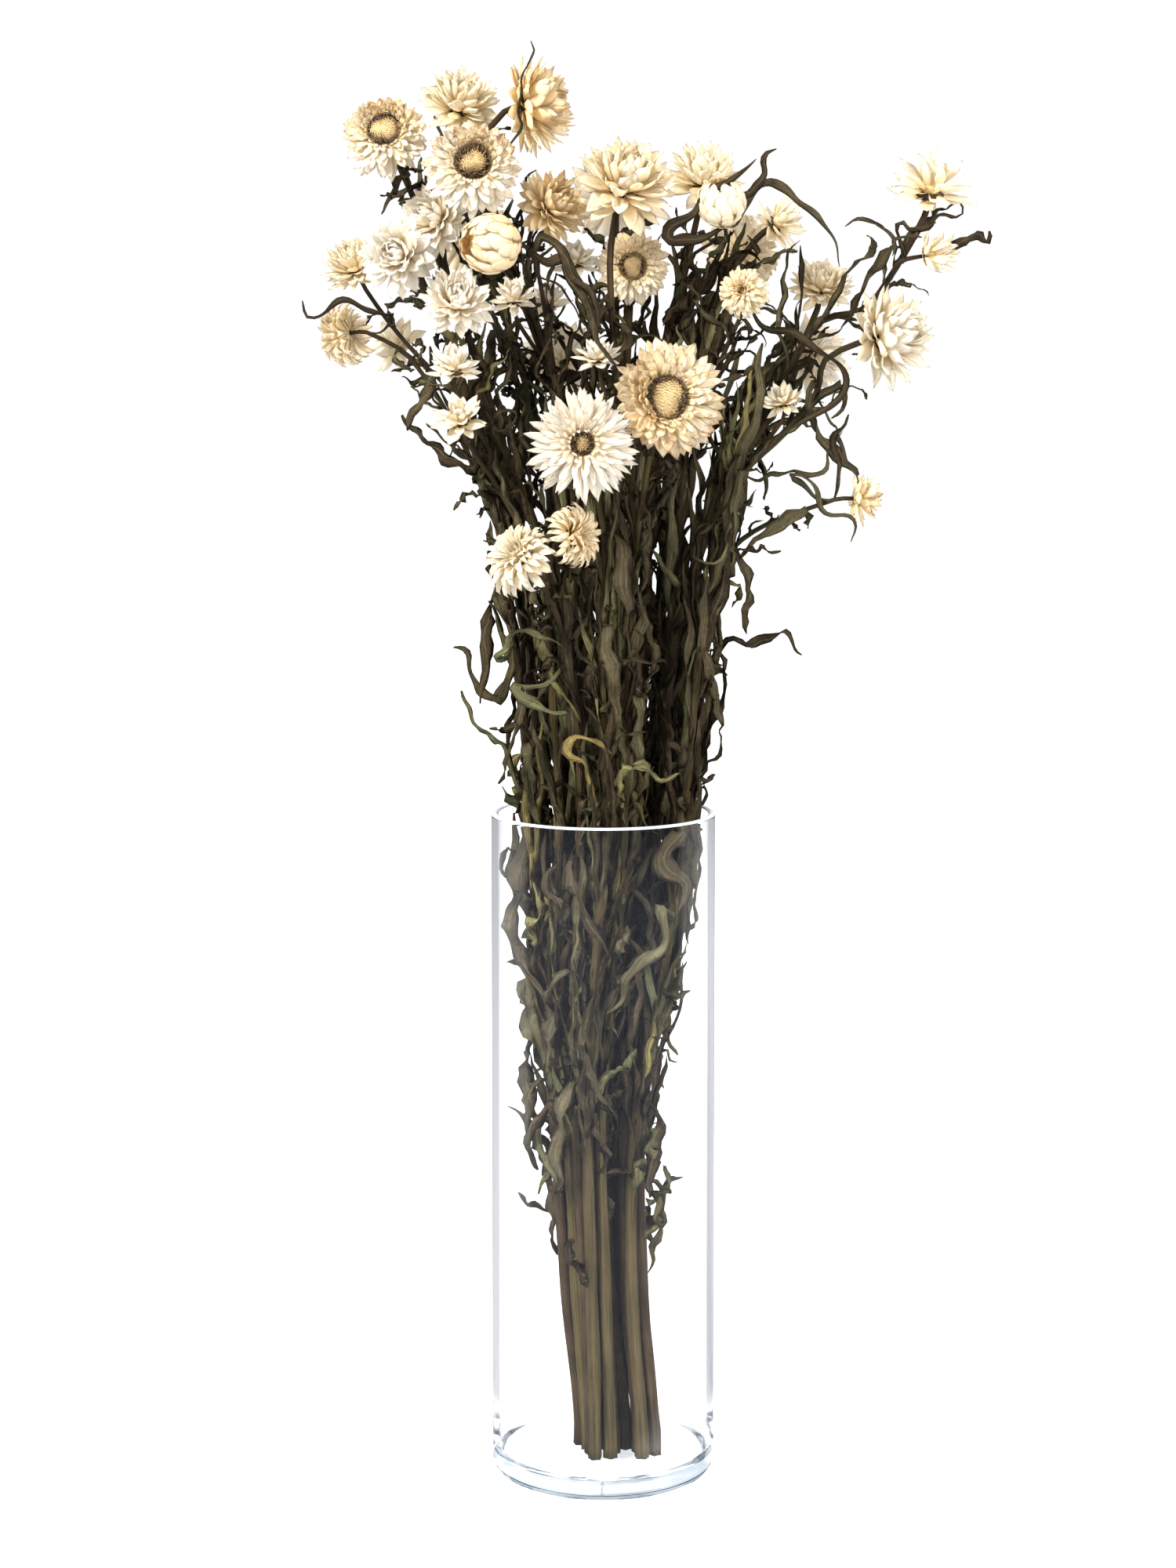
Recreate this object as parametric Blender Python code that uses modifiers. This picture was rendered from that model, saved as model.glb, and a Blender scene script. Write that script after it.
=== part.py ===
"""Dried strawflowers standing in a tall clear glass cylinder vase.

Metres, +Z up. The origin is the centre of the vase's underside, and -Y is the front of the bunch.
Nineteen cut stems stand on the vase's floor. Each is one node with its side stems and its leaves,
and each flower head is a node of its own that sits on the tip of a stem.
"""

import math
import random

import bmesh
import bpy
import numpy as np
from mathutils import Matrix, Vector

MM = 0.001

# The vase: a straight cylinder with a thick floor.
VASE_RADIUS = 50 * MM
VASE_HEIGHT = 300 * MM
WALL = 3 * MM
FLOOR = 9 * MM
FOOT_ROUNDING = 7 * MM
INNER_ROUNDING = 5 * MM
RIM_ROUNDING = 1.2 * MM
VASE_SIDES = 32

# Clearances between separate pieces.
SEAT_GAP = 0.3 * MM
STEM_GAP = 1.1 * MM
LEAF_GAP = 1.3 * MM
LEAF_TO_LEAF = 2.4 * LEAF_GAP  # between the midribs of leaves of different stems
BLOOM_GAP = 2.0 * MM

# The bunch as a sheaf: height, radius and centre of the circle that holds the stems, and its turn.
SHEAF = (
    # height, radius, centre x, centre y, turn in degrees
    (9.3, 17.5, 8.0, 0.0, 0.0),
    (60.0, 16.0, 3.5, 0.0, 14.0),
    (130.0, 16.0, -3.5, 0.0, 26.0),
    (200.0, 25.0, -2.0, 0.0, 33.0),
    (250.0, 33.0, 0.0, 0.0, 36.0),
    (300.0, 36.5, 2.0, 0.0, 38.0),
    (360.0, 43.0, 1.0, 0.0, 39.0),
    (450.0, 52.0, 3.0, 0.0, 40.0),
)
SLOT_SPAN = (125.0, 80.0)  # mm across which flower heads are sorted into places in the sheaf
SLOT_SPACING = 0.37        # least distance between two stems, as a share of the sheaf's radius
SLOT_ROUNDS = 400          # of easing those places apart
FOOT_RADIUS = 2.9 * MM
NECK_RADIUS = 1.5 * MM
BRANCH_RADIUS = 1.35 * MM
TIP_RADIUS = 1.0 * MM

# Flower heads: kind, centre x, y, z in mm, diameter in mm, and the way it faces as an azimuth
# (0 is the front, 90 is +X) and an elevation in degrees.
BLOOMS = {
    "a1": ("open", -96, -5, 602, 43, -5, 20),
    "a2": ("half", -63, 30, 617, 40, 20, 50),
    "a3": ("half", -28, 12, 614, 47, 75, 10),
    "a4": ("open", -56, -32, 587, 48, 5, 15),
    "a5": ("half", -76, 8, 564, 38, -50, 20),
    "a6": ("half", -21, -8, 569, 35, 50, 25),
    "a7": ("bud", -48, -48, 551, 30, -50, 0),
    "a8": ("half", -89, -30, 547, 37, -15, 10),
    "a9": ("half", -111, 14, 544, 32, -40, 60),
    "b1": ("open", -115, 0, 512, 34, -120, -10),
    "b2": ("half", -63, -34, 528, 35, 10, 35),
    "b3": ("star", -39, -8, 530, 24, 0, 60),
    "b4": ("star", -64, -36, 501, 27, 10, 60),
    "b5": ("star", -62, -44, 478, 27, -10, 50),
    "b6": ("half", 10, -22, 580, 50, 25, 50),
    "b7": ("half", 46, 20, 583, 40, 20, 60),
    "b8": ("open", 13, 5, 542, 36, 0, -5),
    "b9": ("star", -12, 14, 547, 24, 0, 60),
    "c1": ("bud", 51, -20, 569, 25, -20, 60),
    "c2": ("star", 80, 15, 563, 30, 60, 30),
    "c3": ("open", 60, -30, 531, 27, -20, 10),
    "c4": ("half", 98, 25, 535, 30, 10, 60),
    "c5": ("half", 145, 5, 579, 43, 20, 65),
    "c6": ("bud", 149, -12, 548, 23, 75, 10),
    "c7": ("half", 128, -5, 512, 49, 60, 10),
    "c8": ("bud", 102, 16, 501, 20, 80, -20),
    "c9": ("open", 27, -58, 486, 55, 10, 10),
    "d1": ("open", -9, -75, 467, 51, 5, 5),
    "d2": ("open", -36, -62, 419, 40, -45, 35),
    "d3": ("half", -10, -52, 427, 33, 60, 10),
    "d4": ("star", 79, 5, 484, 22, -20, 50),
    "d5": ("star", 116, -5, 440, 26, 100, 0),
    "d6": ("star", -3, -34, 505, 23, -20, 70),
    "d7": ("star", -25, 24, 528, 24, 0, 50),
    "d8": ("open", -61, 62, 557, 45, 175, 15),
    "d9": ("half", 6, 68, 577, 47, 180, 35),
    "e1": ("open", 64, 64, 549, 43, 165, 10),
    "e2": ("half", -20, 72, 501, 39, 190, 20),
    "e3": ("star", -96, 45, 509, 31, 220, 30),
    "e4": ("half", 98, 58, 503, 37, 130, 20),
}
# How far behind a head's centre its stem meets it, as a share of its diameter.
SEAT_DEPTH = {"open": 0.14, "half": 0.20, "bud": 0.45, "star": 0.24}
# Half the depth of the space a head fills, as a share of its diameter.
HALF_DEPTH = {"open": 0.24, "half": 0.32, "bud": 0.50, "star": 0.36}

# Stems: the head on the main stem, the height at which it bends away from the sheaf, and the
# side stems as pairs of head and height of the fork. Heights are in mm.
PLANTS = (
    ("a1", 400, (("a9", 440),)),
    ("a8", 380, (("b1", 430),)),
    ("a4", 430, (("a7", 490),)),
    ("a2", 440, (("a5", 470),)),
    ("a3", 440, (("a6", 500),)),
    ("b2", 400, (("b4", 430), ("b5", 405))),
    ("b6", 450, (("b9", 470),)),
    ("b8", 420, (("b3", 440), ("d7", 455))),
    ("b7", 440, (("c1", 500),)),
    ("c2", 430, (("c3", 460),)),
    ("c5", 420, (("c6", 535),)),
    ("c7", 390, (("c8", 455),)),
    ("c9", 380, (("d6", 430),)),
    ("d1", 360, ()),
    ("d2", 320, (("d3", 370),)),
    ("c4", 400, (("d4", 440), ("d5", 385))),
    ("d8", 420, (("e3", 450),)),
    ("d9", 430, (("e2", 430),)),
    ("e1", 410, (("e4", 440),)),
)

LEAF_FROM = 75 * MM        # lowest leaf above the table
LEAF_SPACING = 94 * MM     # between leaves along a stem
LEAF_LENGTH = (34 * MM, 60 * MM)
LEAF_WIDTH = (6 * MM, 10 * MM)
LEAF_THICKNESS = 0.8 * MM
LEAF_TRIES = 24
SIDE_LEAF_FROM = 20 * MM   # lowest leaf along a side stem
BARE_TIP = 16 * MM         # of a stem below its flower head
SIDE_LEAF_SIZE = 0.75      # against a leaf of a main stem
LEAF_LEAN = (0.45, 1.05)   # outward from the stem's own way
LEAF_BEND = (-0.9, 2.2)    # radians from root to tip
LEAF_SWAY = 0.5
LEAF_SWING = 1.3           # radians to either side of a leaf's place round the stem
LEAF_TURN = 2.4            # radians round the stem from one leaf to the next
LEAF_LOWEST = 14 * MM      # above the table
RIB_PARTS = 24             # steps in which a leaf's rib is followed
RIB_SAMPLES = 13           # spots along a leaf where it is tested
PETAL_THICKNESS = 0.8 * MM
SEED = 7


def facing(azimuth, elevation):
    a = math.radians(azimuth)
    e = math.radians(elevation)
    return np.array([math.sin(a) * math.cos(e), -math.cos(a) * math.cos(e), math.sin(e)])


def unit(v):
    return v / max(np.linalg.norm(v), 1e-12)


class Head:
    """Where one flower head is: its centre, its seat on the stem, its size and the way it faces."""

    def __init__(self, name):
        kind, x, y, z, diameter, azimuth, elevation = BLOOMS[name]
        self.name = name
        self.kind = kind
        self.centre = np.array([x, y, z]) * MM
        self.radius = diameter * MM / 2
        self.axis = facing(azimuth, elevation)
        self.seat = self.centre - self.axis * SEAT_DEPTH[kind] * diameter * MM
        self.half_depth = HALF_DEPTH[kind] * diameter * MM


def sheaf_at(height):
    """Radius, centre and turn of the sheaf at a height in mm."""
    levels = [row[0] for row in SHEAF]
    return [float(np.interp(height, levels, [row[k] for row in SHEAF])) for k in range(1, 5)]


def sheaf_point(slot, height):
    radius, cx, cy, turn = sheaf_at(height)
    a = math.radians(turn)
    x = slot[0] * math.cos(a) - slot[1] * math.sin(a)
    y = slot[0] * math.sin(a) + slot[1] * math.cos(a)
    return np.array([cx + radius * x, cy + radius * y, height]) * MM


def sheaf_slots(heads):
    """A place in the unit disc for each main stem, on the side where its flower head is."""
    a = math.radians(SHEAF[-1][4])
    slots = []
    for name, _, _ in PLANTS:
        x = heads[name].centre[0] / MM / SLOT_SPAN[0]
        y = heads[name].centre[1] / MM / SLOT_SPAN[1]
        slots.append([x * math.cos(a) + y * math.sin(a), -x * math.sin(a) + y * math.cos(a)])
    slots = np.array(slots)
    for _ in range(SLOT_ROUNDS):
        for i in range(len(slots)):
            away = slots[i] - slots
            apart = np.linalg.norm(away, axis=1)
            apart[i] = np.inf
            for j in np.nonzero(apart < SLOT_SPACING)[0]:
                push = 0.5 * (SLOT_SPACING - apart[j]) * away[j] / max(apart[j], 1e-6)
                slots[i] += push
                slots[j] -= push
        reach = np.linalg.norm(slots, axis=1, keepdims=True)
        slots *= np.minimum(1.0, 1.0 / np.maximum(reach, 1e-9))
    return slots


START_PULL = 0.42      # how far a neck keeps to its stem's way, and to its head's, as a share
END_PULL = 0.30        # of the distance between them
LEAST_END_PULL = 16 * MM


def bezier(start, start_way, end, end_way, count):
    span = np.linalg.norm(end - start)
    p1 = start + unit(start_way) * START_PULL * span
    p2 = end - unit(end_way) * max(END_PULL * span, LEAST_END_PULL)
    t = np.linspace(0, 1, count)[:, None]
    return (1 - t) ** 3 * start + 3 * (1 - t) ** 2 * t * p1 + 3 * (1 - t) * t**2 * p2 + t**3 * end


class Strand:
    """One stem or side stem as a line of points, with its radius at each point."""

    def __init__(self, plant, head, points, r_start, r_end, main):
        self.plant = plant
        self.head = head
        self.points = points
        self.main = main
        along = np.linspace(0, 1, len(points))
        self.radii = r_start + (r_end - r_start) * along


STEP = 9 * MM          # spacing of the points of a strand while it is laid out
LEAST_POINTS = 6       # of a neck or a side stem
SIDE_LEAN = 0.6        # how much a side stem leaves its main stem towards its own head
ROUNDS = 110           # of easing the strands apart, then again with only the points that are kept
ROUNDS_AFTER_THINNING = 60
PARTS = 6              # of each stretch, tested after thinning
EASE = 0.3             # share of an overlap that one round takes away from each strand
HEAD_EASE = 0.5        # and from a strand inside a flower head
LARGEST_MOVE = 3 * MM  # in one round
ROUGH_ROUNDS = 25      # at the end, in which moves are no longer evened out along a strand
RIM_MARGIN = 8 * MM    # above the vase in which a strand still keeps inside it


def lay_strands(heads):
    """The stems' routes before they are eased apart. Side stems follow their main stem's fork."""
    strands = []
    forks = []
    for plant, ((main, bend, sides), slot) in enumerate(zip(PLANTS, sheaf_slots(heads))):
        low = [sheaf_point(slot, h) for h in np.arange(SHEAF[0][0], bend, STEP / MM)]
        head = heads[main]
        span = np.linalg.norm(head.seat - low[-1])
        count = max(LEAST_POINTS, int(span / STEP) + 1)
        top = bezier(low[-1], low[-1] - low[-4], head.seat, head.axis, count)
        strands.append(Strand(plant, head, np.vstack([low, top[1:]]), FOOT_RADIUS, NECK_RADIUS, True))
        trunk = strands[-1]
        for side, fork in sides:
            at = int(np.argmin(np.abs(trunk.points[:, 2] - fork * MM)))
            start = trunk.points[at]
            way = unit(trunk.points[at + 1] - trunk.points[at - 1])
            head = heads[side]
            out = unit(way + SIDE_LEAN * unit(head.seat - start))
            count = max(LEAST_POINTS, int(np.linalg.norm(head.seat - start) / STEP) + 1)
            points = bezier(start, out, head.seat, head.axis, count)
            strands.append(Strand(plant, head, points, BRANCH_RADIUS, TIP_RADIUS, False))
            forks.append((strands[-1], trunk, at))
    return strands, forks


def nearest(points, a, b):
    """For each point and each segment a-b: the distance, and where on the segment it is nearest."""
    d = b - a
    dd = np.maximum((d * d).sum(1), 1e-12)
    along = points @ d.T - (a * d).sum(1)
    t = np.clip(along / dd, 0, 1)
    square = (points * points).sum(1)[:, None] - 2 * points @ a.T + (a * a).sum(1)
    square = square - 2 * t * along + t * t * dd
    return np.sqrt(np.maximum(square, 0)), t


def out_of_head(head, points, radii, first):
    """For each stretch of a stem inside a flower head: its first point, where, and a push outward."""
    away = points - head.centre
    depth = away @ head.axis
    wide = (head.radius + radii + BLOOM_GAP)[:, None]
    deep = (head.half_depth + radii + BLOOM_GAP)[:, None]
    scaled = (away - depth[:, None] * head.axis) / wide + depth[:, None] * head.axis / deep
    a = scaled[first]
    d = scaled[first + 1] - a
    share = np.clip(-(a * d).sum(1) / np.maximum((d * d).sum(1), 1e-12), 0, 1)
    spot = a + d * share[:, None]
    reach = np.linalg.norm(spot, axis=1)
    pushes = []
    for k in np.nonzero(reach < 1)[0]:
        lift = (spot[k] @ head.axis) * head.axis
        way = unit((spot[k] - lift) / head.radius + lift / head.half_depth)
        pushes.append((first[k], share[k], HEAD_EASE * (1 - reach[k]) * deep[first[k]] * way))
    return pushes


def ease_apart(strands, forks, heads, rounds, parts):
    """Pushes strands of different plants apart, out of the flower heads and off the glass.

    Each stretch between two points is tested at so many parts of its length.
    """
    starts = np.cumsum([0] + [len(s.points) for s in strands])
    for turn in range(rounds):
        points = np.vstack([s.points for s in strands])
        radii = np.concatenate([s.radii for s in strands])
        plant = np.concatenate([[s.plant] * len(s.points) for s in strands])
        first = np.concatenate([np.arange(starts[k], starts[k + 1] - 1) for k in range(len(strands))])
        at = np.repeat(first, parts)
        share = np.tile(np.arange(parts) / parts, len(first))
        spots = points[at] * (1 - share)[:, None] + points[at + 1] * share[:, None]
        distance, t = nearest(spots, points[first], points[first + 1])
        need = radii[at][:, None] + radii[first] + STEM_GAP
        close = (distance < need) & (plant[at][:, None] != plant[first])
        move = np.zeros_like(points)
        for i, k in zip(*np.nonzero(close)):
            other = points[first[k]] * (1 - t[i, k]) + points[first[k] + 1] * t[i, k]
            away = spots[i] - other
            if np.linalg.norm(away) < 1e-7:
                away = np.array([0.6, 0.8, 0.0])
            push = EASE * (need[i, k] - distance[i, k]) * unit(away)
            move[at[i]] += push * (1 - share[i])
            move[at[i] + 1] += push * share[i]
            move[first[k]] -= push * (1 - t[i, k])
            move[first[k] + 1] -= push * t[i, k]
        for head in heads.values():
            own = np.concatenate([[s.head is head] * len(s.points) for s in strands])
            for k, share, push in out_of_head(head, points, radii, first):
                if not own[k]:
                    move[k] += push * (1 - share)
                    move[k + 1] += push * share
        for k, strand in enumerate(strands):
            shift = move[starts[k]:starts[k + 1]]
            shift = np.clip(shift, -LARGEST_MOVE, LARGEST_MOVE)
            if parts == 1 and turn < rounds - ROUGH_ROUNDS:
                soft = shift.copy()
                soft[1:-1] = 0.25 * shift[:-2] + 0.5 * shift[1:-1] + 0.25 * shift[2:]
                shift = soft
            shift[-2:] = 0
            if strand.main:
                shift[0, 2] = 0
                shift[:, 2] *= strand.points[:, 2] > VASE_HEIGHT
            strand.points = strand.points + shift
            reach = np.linalg.norm(strand.points[:, :2], axis=1)
            limit = VASE_RADIUS - WALL - strand.radii - LEAF_GAP
            inside = (strand.points[:, 2] < VASE_HEIGHT + RIM_MARGIN) & (reach > limit)
            strand.points[inside, :2] *= (limit[inside] / reach[inside])[:, None]
            if strand.main:
                strand.points[0, :2] = strand.points[1, :2]
        for side, trunk, at in forks:
            side.points[0] = trunk.points[at]


LONGEST_MAIN = 64 * MM  # longest straight stretch of a stem's tube, and of a side stem's
LONGEST_SIDE = 40 * MM
LARGEST_TURN = math.radians(24)


def thin_out(strands, forks):
    """Leaves each strand the few points that its tube needs: its ends, its forks and its bends."""
    kept = {}
    for strand in strands:
        points = strand.points
        must = {at for _, trunk, at in forks if trunk is strand}
        must |= {len(points) - 2, len(points) - 1}
        keep = [0, 1] if strand.main else [0]
        longest = LONGEST_MAIN if strand.main else LONGEST_SIDE
        for k in range(keep[-1] + 1, len(points)):
            since = np.linalg.norm(points[k] - points[keep[-1]])
            here = unit(points[k] - points[k - 1])
            then = unit(points[keep[-1] + 1] - points[keep[-1]])
            turned = here @ then < math.cos(LARGEST_TURN)
            if k in must or ((since > longest or turned) and k < len(points) - 3):
                keep.append(k)
        strand.points = points[keep]
        strand.radii = strand.radii[keep]
        kept[strand] = keep
    return [(side, trunk, kept[trunk].index(at)) for side, trunk, at in forks]


def leaf_rib(start, way, up, length, bend, sway, count):
    """Points and side directions along a leaf that curls from its way towards up by bend radians."""
    way = unit(way)
    up = unit(up - way * (up @ way))
    side = np.cross(way, up)
    points = [np.array(start)]
    for k in range(RIB_PARTS):
        s = (k + 0.5) / RIB_PARTS
        turn = bend * s * s + 0.35 * sway * math.sin(4.2 * s)
        heading = math.cos(turn) * way + math.sin(turn) * up + sway * math.sin(2.6 * s) * side
        points.append(points[-1] + unit(heading) * length / RIB_PARTS)
    at = np.linspace(0, RIB_PARTS, count)
    index = np.arange(RIB_PARTS + 1)
    points = np.array(points)
    line = np.column_stack([np.interp(at, index, points[:, k]) for k in range(3)])
    ways = np.gradient(line, axis=0)
    twist = sway * 2.2 * np.linspace(0, 1, count)
    across = []
    for way_here, angle in zip(ways, twist):
        flat = unit(side - unit(way_here) * (side @ unit(way_here)))
        across.append(math.cos(angle) * flat + math.sin(angle) * np.cross(unit(way_here), flat))
    return line, np.array(across)


def leaf_outline(s):
    """Half width of a leaf at s from 0, its root, to 1, its tip, as a share of its widest."""
    return max(0.16, math.sin(math.pi * min(1.0, s * 0.92 + 0.06)) ** 0.8)


class Leaf:
    def __init__(self, strand, root, way, up, length, width, bend, sway):
        self.strand = strand
        self.root = root
        self.way = way
        self.up = up
        self.length = length
        self.width = width
        self.bend = bend
        self.sway = sway

    def rib(self, count):
        return leaf_rib(self.root, self.way, self.up, self.length, self.bend, self.sway, count)

    def samples(self):
        line, across = self.rib(RIB_SAMPLES)
        shares = [leaf_outline(s) for s in np.linspace(0, 1, RIB_SAMPLES)]
        half = np.array(shares)[:, None] * self.width / 2
        return np.vstack([line, line + across * half, line - across * half])


def glass_free(points):
    """True if no point is in the glass or within the gap of it."""
    reach = np.linalg.norm(points[:, :2], axis=1)
    low = points[:, 2] < VASE_HEIGHT + 2 * LEAF_GAP
    in_glass = low & (reach > VASE_RADIUS - WALL - LEAF_GAP)
    return not np.any(in_glass) and points[:, 2].min() > LEAF_LOWEST


def grow_leaves(strands, heads):
    """Leaves along each stem, each drawn again until it is clear of the other plants and heads."""
    draw = random.Random(SEED)
    leaves = []
    taken = {}
    for strand in strands:
        line = strand.points
        run = np.concatenate([[0], np.cumsum(np.linalg.norm(np.diff(line, axis=0), axis=1))])
        others = [s for s in strands if s.plant != strand.plant]
        seg_a = np.vstack([s.points[:-1] for s in others])
        seg_b = np.vstack([s.points[1:] for s in others])
        seg_r = np.concatenate([s.radii[:-1] for s in others])
        at = (LEAF_FROM if strand.main else SIDE_LEAF_FROM) + draw.uniform(0, 0.6) * LEAF_SPACING
        size = 1.0 if strand.main else SIDE_LEAF_SIZE
        turn = draw.uniform(0, 2 * math.pi)
        while at < run[-1] - BARE_TIP:
            root = np.array([np.interp(at, run, line[:, k]) for k in range(3)])
            ahead = np.array([np.interp(at + 4 * MM, run, line[:, k]) for k in range(3)])
            stem_way = unit(ahead - root)
            for _ in range(LEAF_TRIES):
                angle = turn + draw.uniform(-LEAF_SWING, LEAF_SWING)
                first = unit(np.cross(stem_way, np.array([0.3, 0.9, 0.1])))
                out = math.cos(angle) * first + math.sin(angle) * np.cross(stem_way, first)
                lean = draw.uniform(*LEAF_LEAN)
                way = stem_way + lean * out
                length = draw.uniform(*LEAF_LENGTH) * size
                width = draw.uniform(*LEAF_WIDTH) * size
                bend = draw.uniform(*LEAF_BEND)
                sway = draw.uniform(-LEAF_SWAY, LEAF_SWAY)
                leaf = Leaf(strand, root, way, out, length, width, bend, sway)
                points = leaf.samples()
                if not glass_free(points):
                    continue
                distance, _ = nearest(points, seg_a, seg_b)
                if np.any(distance < seg_r + LEAF_GAP):
                    continue
                if any(inside_head(points, h, LEAF_GAP) for h in heads.values()):
                    continue
                rest = [p for other, p in taken.items() if other.strand.plant != strand.plant]
                if rest:
                    gap = np.sqrt(((points[:, None] - np.vstack(rest)[None]) ** 2).sum(2)).min()
                    if gap < LEAF_TO_LEAF:
                        continue
                taken[leaf] = points
                leaves.append(leaf)
                break
            at += LEAF_SPACING * draw.uniform(0.75, 1.2)
            turn += LEAF_TURN
    return leaves


def inside_head(points, head, gap):
    away = points - head.centre
    depth = away @ head.axis
    across = np.linalg.norm(away - depth[:, None] * head.axis, axis=1)
    wide = head.radius + gap
    deep = head.half_depth + gap
    return bool(np.any((across / wide) ** 2 + (depth / deep) ** 2 < 1))


def layout():
    heads = {name: Head(name) for name in BLOOMS}
    strands, forks = lay_strands(heads)
    ease_apart(strands, forks, heads, ROUNDS, 1)
    forks = thin_out(strands, forks)
    ease_apart(strands, forks, heads, ROUNDS_AFTER_THINNING, PARTS)
    return heads, strands, grow_leaves(strands, heads)


# Modelling

PROFILE_JOIN = 0.00005   # metres within which the turned profile's ends are one point
VASE_JOIN = 0.00002
TUBE_JOIN = 0.00001
VASE_SHARP = math.radians(40)
STEM_SHARP = math.radians(40)
HEAD_SHARP = math.radians(35)


def material(name, colour, roughness, alpha=1.0):
    made = bpy.data.materials.new(name)
    made.use_nodes = True
    shader = made.node_tree.nodes["Principled BSDF"]
    shader.inputs["Base Color"].default_value = (*colour, 1.0)
    shader.inputs["Roughness"].default_value = roughness
    shader.inputs["Metallic"].default_value = 0.0
    shader.inputs["Alpha"].default_value = alpha
    return made


def linked(name, mesh, collection):
    obj = bpy.data.objects.new(name, mesh)
    collection.objects.link(obj)
    return obj


def evaluated_mesh(obj):
    graph = bpy.context.evaluated_depsgraph_get()
    return bpy.data.meshes.new_from_object(obj.evaluated_get(graph), depsgraph=graph)


def mesh_of(bm, name):
    mesh = bpy.data.meshes.new(name)
    bm.to_mesh(mesh)
    bm.free()
    return mesh


def solid_sheet(name, bm, thickness, collection):
    """An open surface given a thickness. Its faces are triangles first, so both sides split alike."""
    bmesh.ops.triangulate(bm, faces=bm.faces[:])
    bmesh.ops.recalc_face_normals(bm, faces=bm.faces[:])
    obj = linked(name, mesh_of(bm, name), collection)
    solidify = obj.modifiers.new("thickness", "SOLIDIFY")
    solidify.thickness = thickness
    solidify.offset = 0.0
    solid = linked(name, evaluated_mesh(obj), collection)
    bpy.data.objects.remove(obj)
    return solid


def fused(name, pieces, collection, helpers):
    """One object from the union of the pieces, which are then removed."""
    body = pieces[0]
    for piece in pieces[1:]:
        helpers.objects.link(piece)
        collection.objects.unlink(piece)
    if len(pieces) > 1:
        union = body.modifiers.new("union", "BOOLEAN")
        union.operation = "UNION"
        union.operand_type = "COLLECTION"
        union.collection = helpers
        union.solver = "MANIFOLD"
    made = linked(name, evaluated_mesh(body), collection)
    for piece in pieces:
        bpy.data.objects.remove(piece)
    return made


def build_vase(collection, glass):
    """The profile runs down the outside, over the underside's centre, and up the inside."""
    rounding = [math.radians(a) for a in (0, 45, 90)]
    foot_z = FOOT_ROUNDING
    foot_x = VASE_RADIUS - FOOT_ROUNDING
    inner = VASE_RADIUS - WALL
    profile = [(VASE_RADIUS, VASE_HEIGHT - RIM_ROUNDING)]
    profile += [
        (foot_x + FOOT_ROUNDING * math.cos(a), foot_z - FOOT_ROUNDING * math.sin(a)) for a in rounding
    ]
    profile += [(0, 0)]
    inside = [
        (inner - INNER_ROUNDING + INNER_ROUNDING * math.sin(a),
         FLOOR + INNER_ROUNDING - INNER_ROUNDING * math.cos(a)) for a in rounding
    ]
    inside = [(0, FLOOR)] + inside + [(inner, VASE_HEIGHT - RIM_ROUNDING)]
    top = [(inner + RIM_ROUNDING, VASE_HEIGHT), (VASE_RADIUS - RIM_ROUNDING, VASE_HEIGHT)]
    bm = bmesh.new()
    ring = [bm.verts.new((x, 0, z)) for x, z in profile + inside + top]
    centre = len(profile) - 1
    for k in range(len(ring)):
        if k != centre:
            bm.edges.new((ring[k], ring[(k + 1) % len(ring)]))
    turned = linked("vase_profile", mesh_of(bm, "vase"), collection)
    screw = turned.modifiers.new("turn", "SCREW")
    screw.steps = VASE_SIDES
    screw.render_steps = VASE_SIDES
    screw.use_merge_vertices = True
    screw.merge_threshold = PROFILE_JOIN
    screw.use_normal_calculate = True
    vase = linked("vase", evaluated_mesh(turned), collection)
    bpy.data.objects.remove(turned)
    bm = bmesh.new()
    bm.from_mesh(vase.data)
    bmesh.ops.remove_doubles(bm, verts=bm.verts[:], dist=VASE_JOIN)
    bmesh.ops.recalc_face_normals(bm, faces=bm.faces[:])
    bm.to_mesh(vase.data)
    bm.free()
    vase.data.shade_smooth()
    vase.data.set_sharp_from_angle(angle=VASE_SHARP)
    vase.data.materials.append(glass)
    return vase


# Each kind of head: petals in a ring, the dome's height, then its rings as root radius, root
# height, shoulder and tip lengths along the petal, and the slope at root and tip in degrees.
# Lengths are shares of the head's radius.
HEAD_FORMS = {
    "open": (9, 0.14, (
        (0.42, 0.10, 0.34, 0.58, -8, 8),
        (0.39, 0.24, 0.24, 0.42, 28, 60),
    )),
    "half": (7, 0.22, (
        (0.28, 0.10, 0.42, 0.72, 2, 20),
        (0.26, 0.22, 0.38, 0.66, 36, 84),
    )),
    "star": (5, 0.24, (
        (0.24, 0.16, 0.42, 0.76, 4, 24),
        (0.22, 0.32, 0.36, 0.66, 52, 88),
    )),
    "bud": (5, 0.50, (
        (0.34, 0.22, 0.55, 1.05, 10, 110),
        (0.30, 0.40, 0.70, 1.35, 24, 150),
    )),
}


PETAL_STEPS = 8                # in which a petal's curve is followed
PETAL_LENGTHS = (0.88, 1.04)   # a petal's length against its ring's
PETAL_TURN = 0.07              # how far a petal stands off its place, as a share of its sector
PETAL_HALF = 0.40              # half a petal's width at its shoulder, as a share of its sector
DOME_SHOULDER = (0.8, 0.6)     # radius and height of the dome's ring, as shares of the dome's own


def along_petal(root_radius, root_height, slopes, share, length):
    """Radius, height and slope at a length along a petal, where share is length over the tip's."""
    radius = root_radius
    height = root_height
    for k in range(PETAL_STEPS):
        slope = slopes[0] + (slopes[1] - slopes[0]) * share * (k + 0.5) / PETAL_STEPS
        radius += math.cos(slope) * length / PETAL_STEPS
        height += math.sin(slope) * length / PETAL_STEPS
    return radius, height, slopes[0] + (slopes[1] - slopes[0]) * share


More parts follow.
